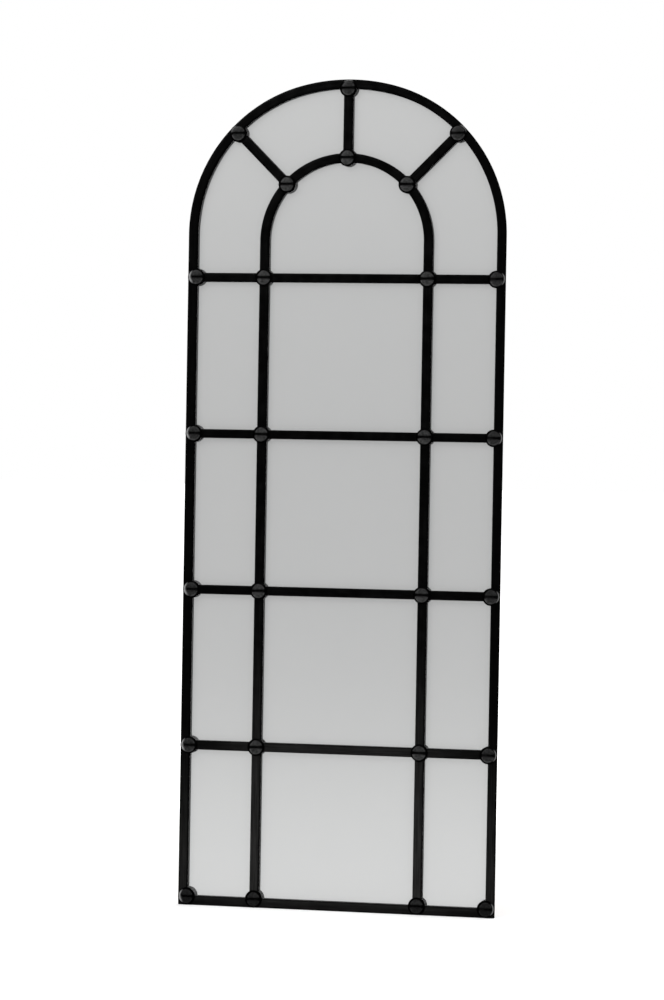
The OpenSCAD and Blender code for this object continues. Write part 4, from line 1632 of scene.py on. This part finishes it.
# %% Rings
WIRE_D = 4 * MM
RING_W = 30 * MM
RING_LEG = 6 * MM
RING_CORNER = 3 * MM
WIRE_STEP = 0.8 * MM
WIRE_EDGE_STEPS = 6
BOW_STEPS, RING_CORNER_STEPS = 40, 8


def ring_line(pivot):
    """Closed line of the wire: straight side at the pivot, round corners, legs, half circle."""
    half = RING_W / 2
    side, corner_z = half - RING_CORNER, pivot.z - RING_CORNER
    bow = round_line(pivot.x, pivot.z - RING_LEG, half, pi, 2 * pi, BOW_STEPS)
    right, left = [
        round_line(pivot.x + shift, corner_z, RING_CORNER, start, start + pi / 2,
                   RING_CORNER_STEPS)
        for shift, start in ((side, 0), (-side, pi / 2))]
    return [(x, pivot.y, z) for x, z in bow + right + left]


for side in PIVOT:
    wire = path_object(side + "_ring_line", ring_line(PIVOT[side]), closed=True)
    ring = grow(side + "_wire_ring", wire, SWEEP, {
        "Width": WIRE_D, "Depth": WIRE_D, "Edge Radius": WIRE_D * 0.499,
        "Edge Steps": WIRE_EDGE_STEPS, "Face Cuts": 0, "Step": WIRE_STEP, "Relief": 0.0,
        "Relief Size": NO_RELIEF_SIZE, "Material": ZINC_PLATE})
    dress(ring, side + "_ring", "zinc_steel", side + "_hanging_ring", sharp=60)
    print(ring.name, "has", triangles(ring), "triangles")

# %% [markdown]
# ## Wall bumpers
# Four moulded rubber bumpers keep the board off the wall. Each is turned, with a soft flange at
# the board, a tapered body and a shallow hollow in its face. A cylinder with a bevel could stand
# in for it, but the lathe is here already and gives the flange and the hollow too.

# %% Bumpers
BUMPER_R = 10 * MM
BUMPER_TOP_R = 8 * MM
BUMPER_H = cad_box[1].y - BOARD_BACK
BUMPER_LIP = 0.9 * MM
FLANGE_T, FLANGE_EDGE_T, FLANGE_STEP = 1.6 * MM, 1.2 * MM, 0.5 * MM
# Radius and depth of the shallow hollow in the bumper's face, from its rim to its middle
HOLLOW = ((5.2 * MM, 0.0), (4.4 * MM, 0.35 * MM), (3.2 * MM, 0.8 * MM), (0, 0.9 * MM))
BUMPER_SIDES = 48
LIP_STEPS = 5
TOP_BUMPER_X = 110 * MM
BUMPER_SEED = 41


def bumper_pattern():
    """One bumper, standing on the board at the origin and pointing to +Y."""
    flange = [(0, 0), (BUMPER_R, 0), (BUMPER_R, FLANGE_EDGE_T), (BUMPER_R - FLANGE_STEP, FLANGE_T)]
    top = round_line(
        BUMPER_TOP_R - BUMPER_LIP, BUMPER_H - BUMPER_LIP, BUMPER_LIP, 0, pi / 2, LIP_STEPS)
    hollow = [(radius, BUMPER_H - depth) for radius, depth in HOLLOW]
    return turned("bumper_pattern", flange + top + hollow, BUMPER_SIDES)


bumper = bumper_pattern()
low_box, high_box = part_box("wall_bumpers")
bumper_spots = (
    (high_box.x - BUMPER_R, low_box.z + BUMPER_R), (TOP_BUMPER_X, high_box.z - BUMPER_R))
bumper_places = [(side * x, BOARD_BACK, z, 0.0) for x, z in bumper_spots for side in (-1, 1)]
bumpers = dress(
    set_out("rubber_bumpers", bumper, bumper_places, RUBBER, turn=pi, seed=BUMPER_SEED),
    "mirror", "bumper_rubber", "wall_bumpers", sharp=45)
bpy.data.objects.remove(bumper)
print("bumpers:", len(bumper_places), "with", triangles(bumpers), "triangles")

# %% [markdown]
# ## End
